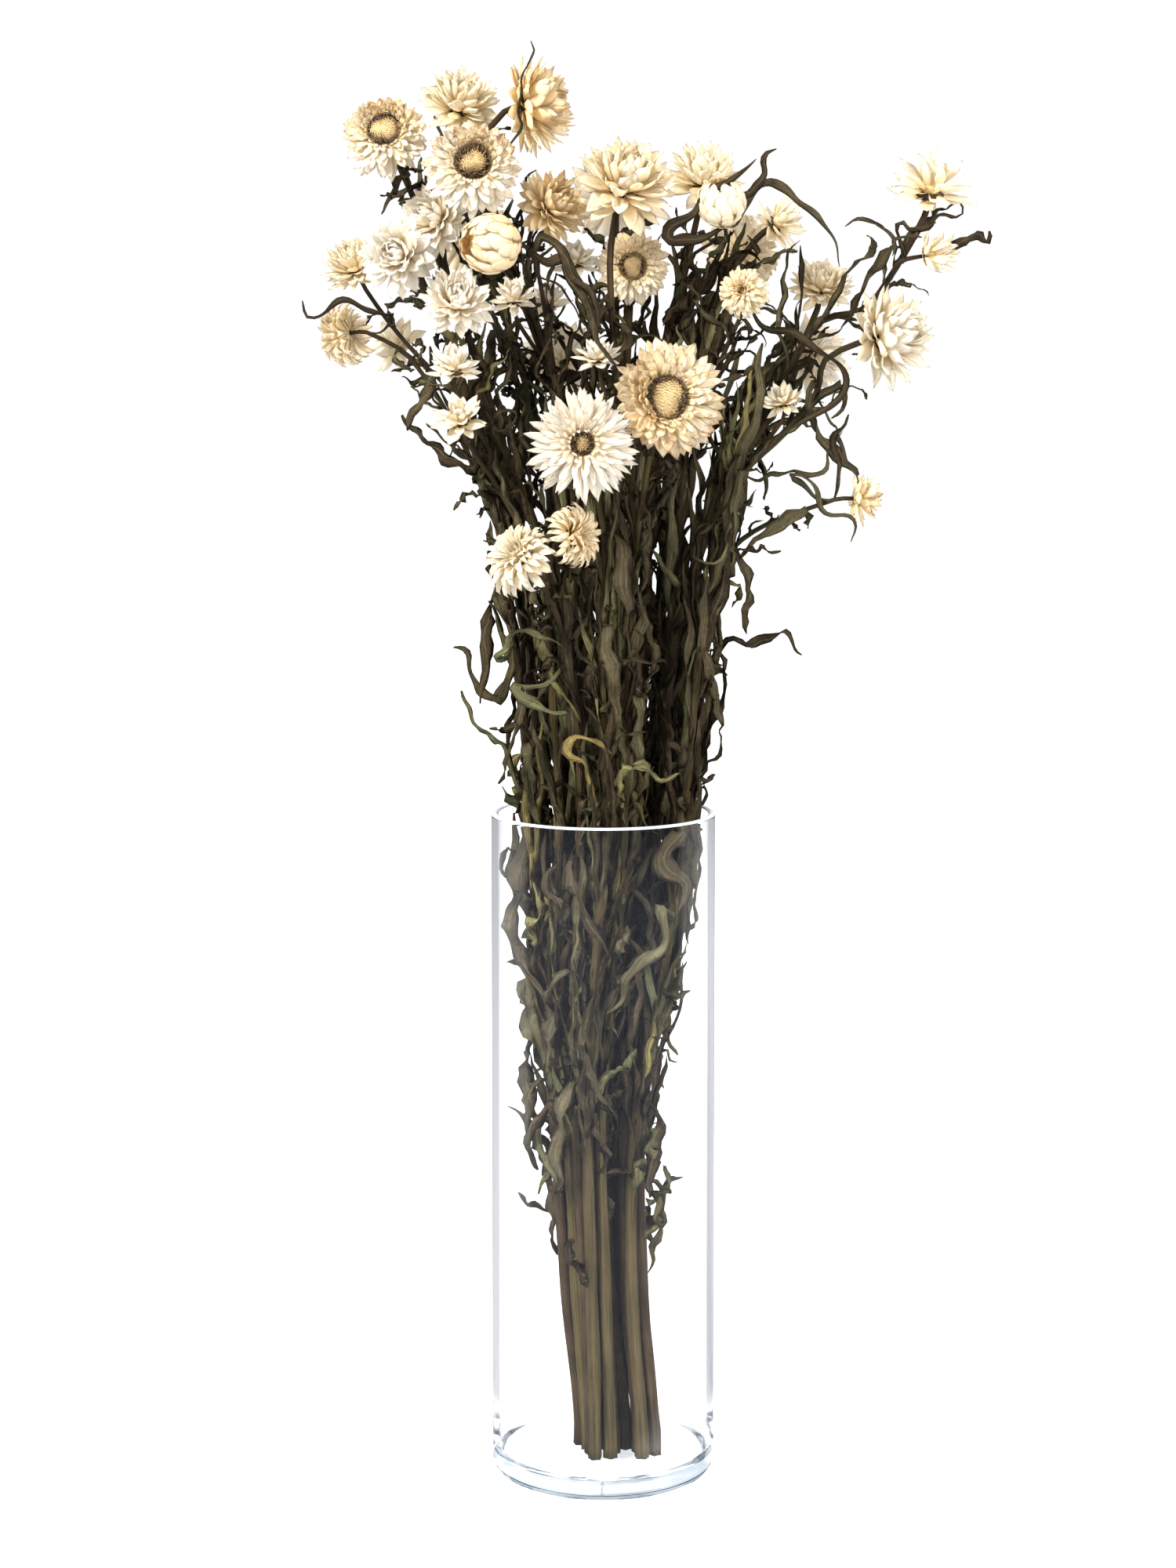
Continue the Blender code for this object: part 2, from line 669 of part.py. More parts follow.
def both_sides(bm, spot, angle):
    """The two points of a petal's lower and upper side at a place along it."""
    radius, height, slope = spot
    points = []
    for side in (-0.5, 0.5):
        r = radius - side * PETAL_THICKNESS * math.sin(slope)
        z = height + side * PETAL_THICKNESS * math.cos(slope)
        points.append(bm.verts.new((r * math.cos(angle), r * math.sin(angle), z)))
    return points


def petal(bm, left_root, right_root, left, tip, right):
    """A pointed blade between two roots that its neighbours share."""
    outline = [left_root, right_root, right, tip, left]
    for side in (0, 1):
        low_left, low_right, high_right, point, high_left = [pair[side] for pair in outline]
        bm.faces.new((low_left, low_right, point))
        bm.faces.new((low_right, high_right, point))
        bm.faces.new((low_left, point, high_left))
    for one, two in zip(outline[1:], outline[2:] + outline[:1]):
        bm.faces.new((one[0], two[0], two[1], one[1]))


def head_surface(head, draw):
    """One closed surface: a drum with rings of petals, a point below on the seat, a dome above."""
    count, dome, rings = HEAD_FORMS[head.kind]
    size = head.radius
    sector = 2 * math.pi / count
    bm = bmesh.new()
    below = None
    for number, (root_radius, root_height, shoulder, tip, slope_in, slope_out) in enumerate(rings):
        slopes = (math.radians(slope_in), math.radians(slope_out))
        root = (root_radius * size, root_height * size, slopes[0])
        phase = 0.5 * number
        roots = [both_sides(bm, root, (k + phase) * sector) for k in range(count)]
        for k in range(count):
            after = (k + 1) % count
            if below is None:
                if k == 0:
                    seat = bm.verts.new((0, 0, 0))
                bm.faces.new((seat, roots[after][0], roots[k][0]))
            else:
                bm.faces.new((below[k][1], below[after][1], roots[k][0]))
                bm.faces.new((below[after][1], roots[after][0], roots[k][0]))
            long = draw.uniform(*PETAL_LENGTHS)
            turn = (k + 0.5 + phase + draw.uniform(-PETAL_TURN, PETAL_TURN)) * sector
            wide = along_petal(*root[:2], slopes, shoulder / tip, shoulder * size * long)
            end = along_petal(*root[:2], slopes, 1.0, tip * size * long)
            left = both_sides(bm, wide, turn - PETAL_HALF * sector)
            right = both_sides(bm, wide, turn + PETAL_HALF * sector)
            petal(bm, roots[k], roots[after], left, both_sides(bm, end, turn), right)
        below = roots
    apex = bm.verts.new((0, 0, root[1] + PETAL_THICKNESS + dome * size))
    reach = DOME_SHOULDER[0] * root[0]
    height = root[1] + PETAL_THICKNESS + DOME_SHOULDER[1] * dome * size
    rim = []
    for k in range(count):
        angle = (k + phase) * sector
        rim.append(bm.verts.new((reach * math.cos(angle), reach * math.sin(angle), height)))
    for k in range(count):
        after = (k + 1) % count
        bm.faces.new((below[k][1], below[after][1], rim[after], rim[k]))
        bm.faces.new((rim[k], rim[after], apex))
    bmesh.ops.recalc_face_normals(bm, faces=bm.faces[:])
    return bm


def build_head(head, collection, petals, draw):
    number = list(BLOOMS).index(head.name) + 1
    name = f"{head.kind}_bloom_{number:02d}"
    made = linked(name, mesh_of(head_surface(head, draw), name), collection)
    turn = Vector(head.axis).to_track_quat("Z", "Y").to_matrix().to_4x4()
    made.matrix_world = Matrix.Translation(Vector(head.seat + head.axis * SEAT_GAP)) @ turn
    made.data.shade_smooth()
    made.data.set_sharp_from_angle(angle=HEAD_SHARP)
    made.data.materials.append(petals)
    return made


def stem_tube(name, strand, collection):
    curve = bpy.data.curves.new(name, "CURVE")
    curve.dimensions = "3D"
    curve.bevel_depth = 1.0
    curve.bevel_resolution = 1 if strand.main else 0
    curve.use_fill_caps = True
    spline = curve.splines.new("POLY")
    spline.points.add(len(strand.points) - 1)
    for point, spot, radius in zip(spline.points, strand.points, strand.radii):
        point.co = (*spot, 1.0)
        point.radius = radius
    obj = linked(name, curve, collection)
    tube = linked(name, evaluated_mesh(obj), collection)
    bpy.data.objects.remove(obj)
    bm = bmesh.new()
    bm.from_mesh(tube.data)
    bmesh.ops.remove_doubles(bm, verts=bm.verts[:], dist=TUBE_JOIN)
    bm.to_mesh(tube.data)
    bm.free()
    return tube


LEAF_STATIONS = 4  # points along a leaf's rib


def leaf_blade(leaf, collection):
    line, across = leaf.rib(LEAF_STATIONS)
    bm = bmesh.new()
    rows = []
    for k in range(LEAF_STATIONS - 1):
        half = leaf_outline(k / (LEAF_STATIONS - 1)) * leaf.width / 2
        rows.append([bm.verts.new(line[k] + across[k] * side * half) for side in (-1, 1)])
    for one, two in zip(rows, rows[1:]):
        bm.faces.new((one[0], one[1], two[1], two[0]))
    bm.faces.new((rows[-1][0], rows[-1][1], bm.verts.new(line[-1])))
    return solid_sheet("leaf", bm, LEAF_THICKNESS, collection)


def build_plant(number, strands, leaves, collection, helpers, green):
    pieces = [stem_tube("stem", s, collection) for s in strands if s.plant == number]
    pieces += [leaf_blade(leaf, collection) for leaf in leaves if leaf.strand.plant == number]
    made = fused(f"leafy_stem_{number + 1:02d}", pieces, collection, helpers)
    made.data.shade_smooth()
    made.data.set_sharp_from_angle(angle=STEM_SHARP)
    made.data.materials.append(green)
    return made


def main():
    for obj in list(bpy.data.objects):
        bpy.data.objects.remove(obj)
    bunch = bpy.data.collections.new("dried_strawflowers")
    helpers = bpy.data.collections.new("joined_pieces")
    bpy.context.scene.collection.children.link(bunch)
    glass = material("clear_glass", (0.93, 0.96, 0.98), 0.03, 0.25)
    green = material("dried_stem", (0.13, 0.11, 0.06), 0.75)
    petals = material("papery_petal", (0.88, 0.76, 0.55), 0.55)
    heads, strands, leaves = layout()
    build_vase(bunch, glass)
    draw = random.Random(SEED)
    for number in range(len(PLANTS)):
        build_plant(number, strands, leaves, bunch, helpers, green)
    for head in heads.values():
        build_head(head, bunch, petals, draw)


main()
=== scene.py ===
"""Dried strawflowers in a tall clear glass cylinder vase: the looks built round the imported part."""

import math
import random

import bpy
import numpy as np
from mathutils import Euler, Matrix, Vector


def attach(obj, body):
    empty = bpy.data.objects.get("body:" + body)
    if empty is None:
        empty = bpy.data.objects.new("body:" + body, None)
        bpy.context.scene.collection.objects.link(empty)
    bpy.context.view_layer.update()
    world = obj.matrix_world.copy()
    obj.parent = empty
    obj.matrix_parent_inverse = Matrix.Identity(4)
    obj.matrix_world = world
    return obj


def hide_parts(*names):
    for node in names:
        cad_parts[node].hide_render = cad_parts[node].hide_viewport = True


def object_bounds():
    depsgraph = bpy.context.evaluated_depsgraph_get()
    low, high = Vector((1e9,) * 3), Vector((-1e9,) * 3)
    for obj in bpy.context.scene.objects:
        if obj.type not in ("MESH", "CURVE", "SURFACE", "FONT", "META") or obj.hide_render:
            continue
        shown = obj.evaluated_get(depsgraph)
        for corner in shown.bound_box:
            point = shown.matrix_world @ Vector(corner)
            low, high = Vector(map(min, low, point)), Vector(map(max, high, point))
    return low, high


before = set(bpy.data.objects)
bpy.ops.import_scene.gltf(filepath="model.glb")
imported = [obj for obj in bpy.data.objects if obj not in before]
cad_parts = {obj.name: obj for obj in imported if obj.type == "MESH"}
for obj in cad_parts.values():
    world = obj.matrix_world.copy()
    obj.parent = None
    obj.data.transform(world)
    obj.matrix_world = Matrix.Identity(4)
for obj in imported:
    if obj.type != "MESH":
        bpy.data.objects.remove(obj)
CAD_BOX = [list(corner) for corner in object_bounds()]

MM = 0.001

# The vase: a straight cylinder with a thick floor.
VASE_RADIUS = 50 * MM
VASE_HEIGHT = 300 * MM
WALL = 3 * MM
FLOOR = 9 * MM
FOOT_ROUNDING = 7 * MM
INNER_ROUNDING = 5 * MM

# Clearances between separate pieces.
SEAT_GAP = 0.3 * MM
STEM_GAP = 1.1 * MM
LEAF_GAP = 1.3 * MM
LEAF_TO_LEAF = 2.4 * LEAF_GAP  # between the midribs of leaves of different stems
BLOOM_GAP = 2.0 * MM

# The bunch as a sheaf: height, radius and centre of the circle that holds the stems, and its turn.
SHEAF = (
    # height, radius, centre x, centre y, turn in degrees
    (9.3, 17.5, 8.0, 0.0, 0.0),
    (60.0, 16.0, 3.5, 0.0, 14.0),
    (130.0, 16.0, -3.5, 0.0, 26.0),
    (200.0, 25.0, -2.0, 0.0, 33.0),
    (250.0, 33.0, 0.0, 0.0, 36.0),
    (300.0, 36.5, 2.0, 0.0, 38.0),
    (360.0, 43.0, 1.0, 0.0, 39.0),
    (450.0, 52.0, 3.0, 0.0, 40.0),
)
SLOT_SPAN = (125.0, 80.0)  # mm across which flower heads are sorted into places in the sheaf
SLOT_SPACING = 0.37        # least distance between two stems, as a share of the sheaf's radius
SLOT_ROUNDS = 400          # of easing those places apart
FOOT_RADIUS = 2.9 * MM
NECK_RADIUS = 1.5 * MM
BRANCH_RADIUS = 1.35 * MM
TIP_RADIUS = 1.0 * MM

# Flower heads: kind, centre x, y, z in mm, diameter in mm, and the way it faces as an azimuth
# (0 is the front, 90 is +X) and an elevation in degrees.
BLOOMS = {
    "a1": ("open", -96, -5, 602, 43, -5, 20),
    "a2": ("half", -63, 30, 617, 40, 20, 50),
    "a3": ("half", -28, 12, 614, 47, 75, 10),
    "a4": ("open", -56, -32, 587, 48, 5, 15),
    "a5": ("half", -76, 8, 564, 38, -50, 20),
    "a6": ("half", -21, -8, 569, 35, 50, 25),
    "a7": ("bud", -48, -48, 551, 30, -50, 0),
    "a8": ("half", -89, -30, 547, 37, -15, 10),
    "a9": ("half", -111, 14, 544, 32, -40, 60),
    "b1": ("open", -115, 0, 512, 34, -120, -10),
    "b2": ("half", -63, -34, 528, 35, 10, 35),
    "b3": ("star", -39, -8, 530, 24, 0, 60),
    "b4": ("star", -64, -36, 501, 27, 10, 60),
    "b5": ("star", -62, -44, 478, 27, -10, 50),
    "b6": ("half", 10, -22, 580, 50, 25, 50),
    "b7": ("half", 46, 20, 583, 40, 20, 60),
    "b8": ("open", 13, 5, 542, 36, 0, -5),
    "b9": ("star", -12, 14, 547, 24, 0, 60),
    "c1": ("bud", 51, -20, 569, 25, -20, 60),
    "c2": ("star", 80, 15, 563, 30, 60, 30),
    "c3": ("open", 60, -30, 531, 27, -20, 10),
    "c4": ("half", 98, 25, 535, 30, 10, 60),
    "c5": ("half", 145, 5, 579, 43, 20, 65),
    "c6": ("bud", 149, -12, 548, 23, 75, 10),
    "c7": ("half", 128, -5, 512, 49, 60, 10),
    "c8": ("bud", 102, 16, 501, 20, 80, -20),
    "c9": ("open", 27, -58, 486, 55, 10, 10),
    "d1": ("open", -9, -75, 467, 51, 5, 5),
    "d2": ("open", -36, -62, 419, 40, -45, 35),
    "d3": ("half", -10, -52, 427, 33, 60, 10),
    "d4": ("star", 79, 5, 484, 22, -20, 50),
    "d5": ("star", 116, -5, 440, 26, 100, 0),
    "d6": ("star", -3, -34, 505, 23, -20, 70),
    "d7": ("star", -25, 24, 528, 24, 0, 50),
    "d8": ("open", -61, 62, 557, 45, 175, 15),
    "d9": ("half", 6, 68, 577, 47, 180, 35),
    "e1": ("open", 64, 64, 549, 43, 165, 10),
    "e2": ("half", -20, 72, 501, 39, 190, 20),
    "e3": ("star", -96, 45, 509, 31, 220, 30),
    "e4": ("half", 98, 58, 503, 37, 130, 20),
}
# How far behind a head's centre its stem meets it, as a share of its diameter.
SEAT_DEPTH = {"open": 0.14, "half": 0.20, "bud": 0.45, "star": 0.24}
# Half the depth of the space a head fills, as a share of its diameter.
HALF_DEPTH = {"open": 0.24, "half": 0.32, "bud": 0.50, "star": 0.36}

# Stems: the head on the main stem, the height at which it bends away from the sheaf, and the
# side stems as pairs of head and height of the fork. Heights are in mm.
PLANTS = (
    ("a1", 400, (("a9", 440),)),
    ("a8", 380, (("b1", 430),)),
    ("a4", 430, (("a7", 490),)),
    ("a2", 440, (("a5", 470),)),
    ("a3", 440, (("a6", 500),)),
    ("b2", 400, (("b4", 430), ("b5", 405))),
    ("b6", 450, (("b9", 470),)),
    ("b8", 420, (("b3", 440), ("d7", 455))),
    ("b7", 440, (("c1", 500),)),
    ("c2", 430, (("c3", 460),)),
    ("c5", 420, (("c6", 535),)),
    ("c7", 390, (("c8", 455),)),
    ("c9", 380, (("d6", 430),)),
    ("d1", 360, ()),
    ("d2", 320, (("d3", 370),)),
    ("c4", 400, (("d4", 440), ("d5", 385))),
    ("d8", 420, (("e3", 450),)),
    ("d9", 430, (("e2", 430),)),
    ("e1", 410, (("e4", 440),)),
)

LEAF_FROM = 75 * MM        # lowest leaf above the table
LEAF_SPACING = 94 * MM     # between leaves along a stem
LEAF_LENGTH = (34 * MM, 60 * MM)
LEAF_WIDTH = (6 * MM, 10 * MM)
LEAF_TRIES = 24
SIDE_LEAF_FROM = 20 * MM   # lowest leaf along a side stem
BARE_TIP = 16 * MM         # of a stem below its flower head
SIDE_LEAF_SIZE = 0.75      # against a leaf of a main stem
LEAF_LEAN = (0.45, 1.05)   # outward from the stem's own way
LEAF_BEND = (-0.9, 2.2)    # radians from root to tip
LEAF_SWAY = 0.5
LEAF_SWING = 1.3           # radians to either side of a leaf's place round the stem
LEAF_TURN = 2.4            # radians round the stem from one leaf to the next
LEAF_LOWEST = 14 * MM      # above the table
RIB_PARTS = 24             # steps in which a leaf's rib is followed
RIB_SAMPLES = 13           # spots along a leaf where it is tested
SEED = 7


def facing(azimuth, elevation):
    a = math.radians(azimuth)
    e = math.radians(elevation)
    return np.array([math.sin(a) * math.cos(e), -math.cos(a) * math.cos(e), math.sin(e)])


def unit(v):
    return v / max(np.linalg.norm(v), 1e-12)


def run_along(line):
    """How far along a line each of its points is."""
    return np.concatenate([[0], np.cumsum(np.linalg.norm(np.diff(line, axis=0), axis=1))])


def spot_at(at, run, line):
    """The point of a line at a distance along it."""
    return np.array([np.interp(at, run, line[:, k]) for k in range(3)])


def ways_along(line):
    """The direction of a line at each of its points."""
    ways = np.gradient(line, axis=0)
    return ways / np.maximum(np.linalg.norm(ways, axis=1, keepdims=True), 1e-12)


class Head:
    """Where one flower head is: its centre, its seat on the stem, its size and the way it faces."""

    def __init__(self, name):
        kind, x, y, z, diameter, azimuth, elevation = BLOOMS[name]
        self.name = name
        self.kind = kind
        self.centre = np.array([x, y, z]) * MM
        self.radius = diameter * MM / 2
        self.axis = facing(azimuth, elevation)
        self.seat = self.centre - self.axis * SEAT_DEPTH[kind] * diameter * MM
        self.half_depth = HALF_DEPTH[kind] * diameter * MM


def sheaf_at(height):
    """Radius, centre and turn of the sheaf at a height in mm."""
    levels = [row[0] for row in SHEAF]
    return [float(np.interp(height, levels, [row[k] for row in SHEAF])) for k in range(1, 5)]


def sheaf_point(slot, height):
    radius, cx, cy, turn = sheaf_at(height)
    a = math.radians(turn)
    x = slot[0] * math.cos(a) - slot[1] * math.sin(a)
    y = slot[0] * math.sin(a) + slot[1] * math.cos(a)
    return np.array([cx + radius * x, cy + radius * y, height]) * MM


def sheaf_slots(heads):
    """A place in the unit disc for each main stem, on the side where its flower head is."""
    a = math.radians(SHEAF[-1][4])
    slots = []
    for name, _, _ in PLANTS:
        x = heads[name].centre[0] / MM / SLOT_SPAN[0]
        y = heads[name].centre[1] / MM / SLOT_SPAN[1]
        slots.append([x * math.cos(a) + y * math.sin(a), -x * math.sin(a) + y * math.cos(a)])
    slots = np.array(slots)
    for _ in range(SLOT_ROUNDS):
        for i in range(len(slots)):
            away = slots[i] - slots
            apart = np.linalg.norm(away, axis=1)
            apart[i] = np.inf
            for j in np.nonzero(apart < SLOT_SPACING)[0]:
                push = 0.5 * (SLOT_SPACING - apart[j]) * away[j] / max(apart[j], 1e-6)
                slots[i] += push
                slots[j] -= push
        reach = np.linalg.norm(slots, axis=1, keepdims=True)
        slots *= np.minimum(1.0, 1.0 / np.maximum(reach, 1e-9))
    return slots


START_PULL = 0.42      # how far a neck keeps to its stem's way, and to its head's, as a share
END_PULL = 0.30        # of the distance between them
LEAST_END_PULL = 16 * MM


def bezier(start, start_way, end, end_way, count):
    span = np.linalg.norm(end - start)
    p1 = start + unit(start_way) * START_PULL * span
    p2 = end - unit(end_way) * max(END_PULL * span, LEAST_END_PULL)
    t = np.linspace(0, 1, count)[:, None]
    return (1 - t) ** 3 * start + 3 * (1 - t) ** 2 * t * p1 + 3 * (1 - t) * t**2 * p2 + t**3 * end


class Strand:
    """One stem or side stem as a line of points, with its radius at each point."""

    def __init__(self, plant, head, points, r_start, r_end, main):
        self.plant = plant
        self.head = head
        self.points = points
        self.main = main
        along = np.linspace(0, 1, len(points))
        self.radii = r_start + (r_end - r_start) * along


STEP = 9 * MM          # spacing of the points of a strand while it is laid out
LEAST_POINTS = 6       # of a neck or a side stem
SIDE_LEAN = 0.6        # how much a side stem leaves its main stem towards its own head
ROUNDS = 110           # of easing the strands apart, then again with only the points that are kept
ROUNDS_AFTER_THINNING = 60
PARTS = 6              # of each stretch, tested after thinning
EASE = 0.3             # share of an overlap that one round takes away from each strand
HEAD_EASE = 0.5        # and from a strand inside a flower head
LARGEST_MOVE = 3 * MM  # in one round
ROUGH_ROUNDS = 25      # at the end, in which moves are no longer evened out along a strand
RIM_MARGIN = 8 * MM    # above the vase in which a strand still keeps inside it


def lay_strands(heads):
    """The stems' routes before they are eased apart. Side stems follow their main stem's fork."""
    strands = []
    forks = []
    for plant, ((main, bend, sides), slot) in enumerate(zip(PLANTS, sheaf_slots(heads))):
        low = [sheaf_point(slot, h) for h in np.arange(SHEAF[0][0], bend, STEP / MM)]
        head = heads[main]
        span = np.linalg.norm(head.seat - low[-1])
        count = max(LEAST_POINTS, int(span / STEP) + 1)
        top = bezier(low[-1], low[-1] - low[-4], head.seat, head.axis, count)
        strands.append(Strand(plant, head, np.vstack([low, top[1:]]), FOOT_RADIUS, NECK_RADIUS, True))
        trunk = strands[-1]
        for side, fork in sides:
            at = int(np.argmin(np.abs(trunk.points[:, 2] - fork * MM)))
            start = trunk.points[at]
            way = unit(trunk.points[at + 1] - trunk.points[at - 1])
            head = heads[side]
            out = unit(way + SIDE_LEAN * unit(head.seat - start))
            count = max(LEAST_POINTS, int(np.linalg.norm(head.seat - start) / STEP) + 1)
            points = bezier(start, out, head.seat, head.axis, count)
            strands.append(Strand(plant, head, points, BRANCH_RADIUS, TIP_RADIUS, False))
            forks.append((strands[-1], trunk, at))
    return strands, forks


def nearest(points, a, b):
    """For each point and each segment a-b: the distance, and where on the segment it is nearest."""
    d = b - a
    dd = np.maximum((d * d).sum(1), 1e-12)
    along = points @ d.T - (a * d).sum(1)
    t = np.clip(along / dd, 0, 1)
    square = (points * points).sum(1)[:, None] - 2 * points @ a.T + (a * a).sum(1)
    square = square - 2 * t * along + t * t * dd
    return np.sqrt(np.maximum(square, 0)), t


def out_of_head(head, points, radii, first):
    """For each stretch of a stem inside a flower head: its first point, where, and a push outward."""
    away = points - head.centre
    depth = away @ head.axis
    wide = (head.radius + radii + BLOOM_GAP)[:, None]
    deep = (head.half_depth + radii + BLOOM_GAP)[:, None]
    scaled = (away - depth[:, None] * head.axis) / wide + depth[:, None] * head.axis / deep
    a = scaled[first]
    d = scaled[first + 1] - a
    share = np.clip(-(a * d).sum(1) / np.maximum((d * d).sum(1), 1e-12), 0, 1)
    spot = a + d * share[:, None]
    reach = np.linalg.norm(spot, axis=1)
    pushes = []
    for k in np.nonzero(reach < 1)[0]:
        lift = (spot[k] @ head.axis) * head.axis
        way = unit((spot[k] - lift) / head.radius + lift / head.half_depth)
        pushes.append((first[k], share[k], HEAD_EASE * (1 - reach[k]) * deep[first[k]] * way))
    return pushes


def ease_apart(strands, forks, heads, rounds, parts):
    """Pushes strands of different plants apart, out of the flower heads and off the glass.

    Each stretch between two points is tested at so many parts of its length.
    """
    starts = np.cumsum([0] + [len(s.points) for s in strands])
    for turn in range(rounds):
        points = np.vstack([s.points for s in strands])
        radii = np.concatenate([s.radii for s in strands])
        plant = np.concatenate([[s.plant] * len(s.points) for s in strands])
        first = np.concatenate([np.arange(starts[k], starts[k + 1] - 1) for k in range(len(strands))])
        at = np.repeat(first, parts)
        share = np.tile(np.arange(parts) / parts, len(first))
        spots = points[at] * (1 - share)[:, None] + points[at + 1] * share[:, None]
        distance, t = nearest(spots, points[first], points[first + 1])
        need = radii[at][:, None] + radii[first] + STEM_GAP
        close = (distance < need) & (plant[at][:, None] != plant[first])
        move = np.zeros_like(points)
        for i, k in zip(*np.nonzero(close)):
            other = points[first[k]] * (1 - t[i, k]) + points[first[k] + 1] * t[i, k]
            away = spots[i] - other
            if np.linalg.norm(away) < 1e-7:
                away = np.array([0.6, 0.8, 0.0])
            push = EASE * (need[i, k] - distance[i, k]) * unit(away)
            move[at[i]] += push * (1 - share[i])
            move[at[i] + 1] += push * share[i]
            move[first[k]] -= push * (1 - t[i, k])
            move[first[k] + 1] -= push * t[i, k]
        for head in heads.values():
            own = np.concatenate([[s.head is head] * len(s.points) for s in strands])
            for k, share, push in out_of_head(head, points, radii, first):
                if not own[k]:
                    move[k] += push * (1 - share)
                    move[k + 1] += push * share
        for k, strand in enumerate(strands):
            shift = move[starts[k]:starts[k + 1]]
            shift = np.clip(shift, -LARGEST_MOVE, LARGEST_MOVE)
            if parts == 1 and turn < rounds - ROUGH_ROUNDS:
                soft = shift.copy()
                soft[1:-1] = 0.25 * shift[:-2] + 0.5 * shift[1:-1] + 0.25 * shift[2:]
                shift = soft
            shift[-2:] = 0
            if strand.main:
                shift[0, 2] = 0
                shift[:, 2] *= strand.points[:, 2] > VASE_HEIGHT
            strand.points = strand.points + shift
            reach = np.linalg.norm(strand.points[:, :2], axis=1)
            limit = VASE_RADIUS - WALL - strand.radii - LEAF_GAP
            inside = (strand.points[:, 2] < VASE_HEIGHT + RIM_MARGIN) & (reach > limit)
            strand.points[inside, :2] *= (limit[inside] / reach[inside])[:, None]
            if strand.main:
                strand.points[0, :2] = strand.points[1, :2]
        for side, trunk, at in forks:
            side.points[0] = trunk.points[at]


LONGEST_MAIN = 64 * MM  # longest straight stretch of a stem's tube, and of a side stem's
LONGEST_SIDE = 40 * MM
LARGEST_TURN = math.radians(24)


def thin_out(strands, forks):
    """Leaves each strand the few points that its tube needs: its ends, its forks and its bends."""
    kept = {}
    for strand in strands:
        points = strand.points
        must = {at for _, trunk, at in forks if trunk is strand}
        must |= {len(points) - 2, len(points) - 1}
        keep = [0, 1] if strand.main else [0]
        longest = LONGEST_MAIN if strand.main else LONGEST_SIDE
        for k in range(keep[-1] + 1, len(points)):
            since = np.linalg.norm(points[k] - points[keep[-1]])
            here = unit(points[k] - points[k - 1])
            then = unit(points[keep[-1] + 1] - points[keep[-1]])
            turned = here @ then < math.cos(LARGEST_TURN)
            if k in must or ((since > longest or turned) and k < len(points) - 3):
                keep.append(k)
        strand.points = points[keep]
        strand.radii = strand.radii[keep]
        kept[strand] = keep
    return [(side, trunk, kept[trunk].index(at)) for side, trunk, at in forks]


def leaf_rib(start, way, up, length, bend, sway, count):
    """Points and side directions along a leaf that curls from its way towards up by bend radians."""
    way = unit(way)
    up = unit(up - way * (up @ way))
    side = np.cross(way, up)
    points = [np.array(start)]
    for k in range(RIB_PARTS):
        s = (k + 0.5) / RIB_PARTS
        turn = bend * s * s + 0.35 * sway * math.sin(4.2 * s)
        heading = math.cos(turn) * way + math.sin(turn) * up + sway * math.sin(2.6 * s) * side
        points.append(points[-1] + unit(heading) * length / RIB_PARTS)
    at = np.linspace(0, RIB_PARTS, count)
    index = np.arange(RIB_PARTS + 1)
    points = np.array(points)
    line = np.column_stack([np.interp(at, index, points[:, k]) for k in range(3)])
    ways = np.gradient(line, axis=0)
    twist = sway * 2.2 * np.linspace(0, 1, count)
    across = []
    for way_here, angle in zip(ways, twist):
        flat = unit(side - unit(way_here) * (side @ unit(way_here)))
        across.append(math.cos(angle) * flat + math.sin(angle) * np.cross(unit(way_here), flat))
    return line, np.array(across)


def leaf_outline(s):
    """Half width of a leaf at s from 0, its root, to 1, its tip, as a share of its widest."""
    return max(0.16, math.sin(math.pi * min(1.0, s * 0.92 + 0.06)) ** 0.8)


class Leaf:
    def __init__(self, strand, root, way, up, length, width, bend, sway):
        self.strand = strand
        self.root = root
        self.way = way
        self.up = up
        self.length = length
        self.width = width
        self.bend = bend
        self.sway = sway

    def rib(self, count):
        return leaf_rib(self.root, self.way, self.up, self.length, self.bend, self.sway, count)

    def samples(self):
        line, across = self.rib(RIB_SAMPLES)
        shares = [leaf_outline(s) for s in np.linspace(0, 1, RIB_SAMPLES)]
        half = np.array(shares)[:, None] * self.width / 2
        return np.vstack([line, line + across * half, line - across * half])


def glass_free(points):
    """True if no point is in the glass or within the gap of it."""
    reach = np.linalg.norm(points[:, :2], axis=1)
    low = points[:, 2] < VASE_HEIGHT + 2 * LEAF_GAP
    in_glass = low & (reach > VASE_RADIUS - WALL - LEAF_GAP)
    return not np.any(in_glass) and points[:, 2].min() > LEAF_LOWEST


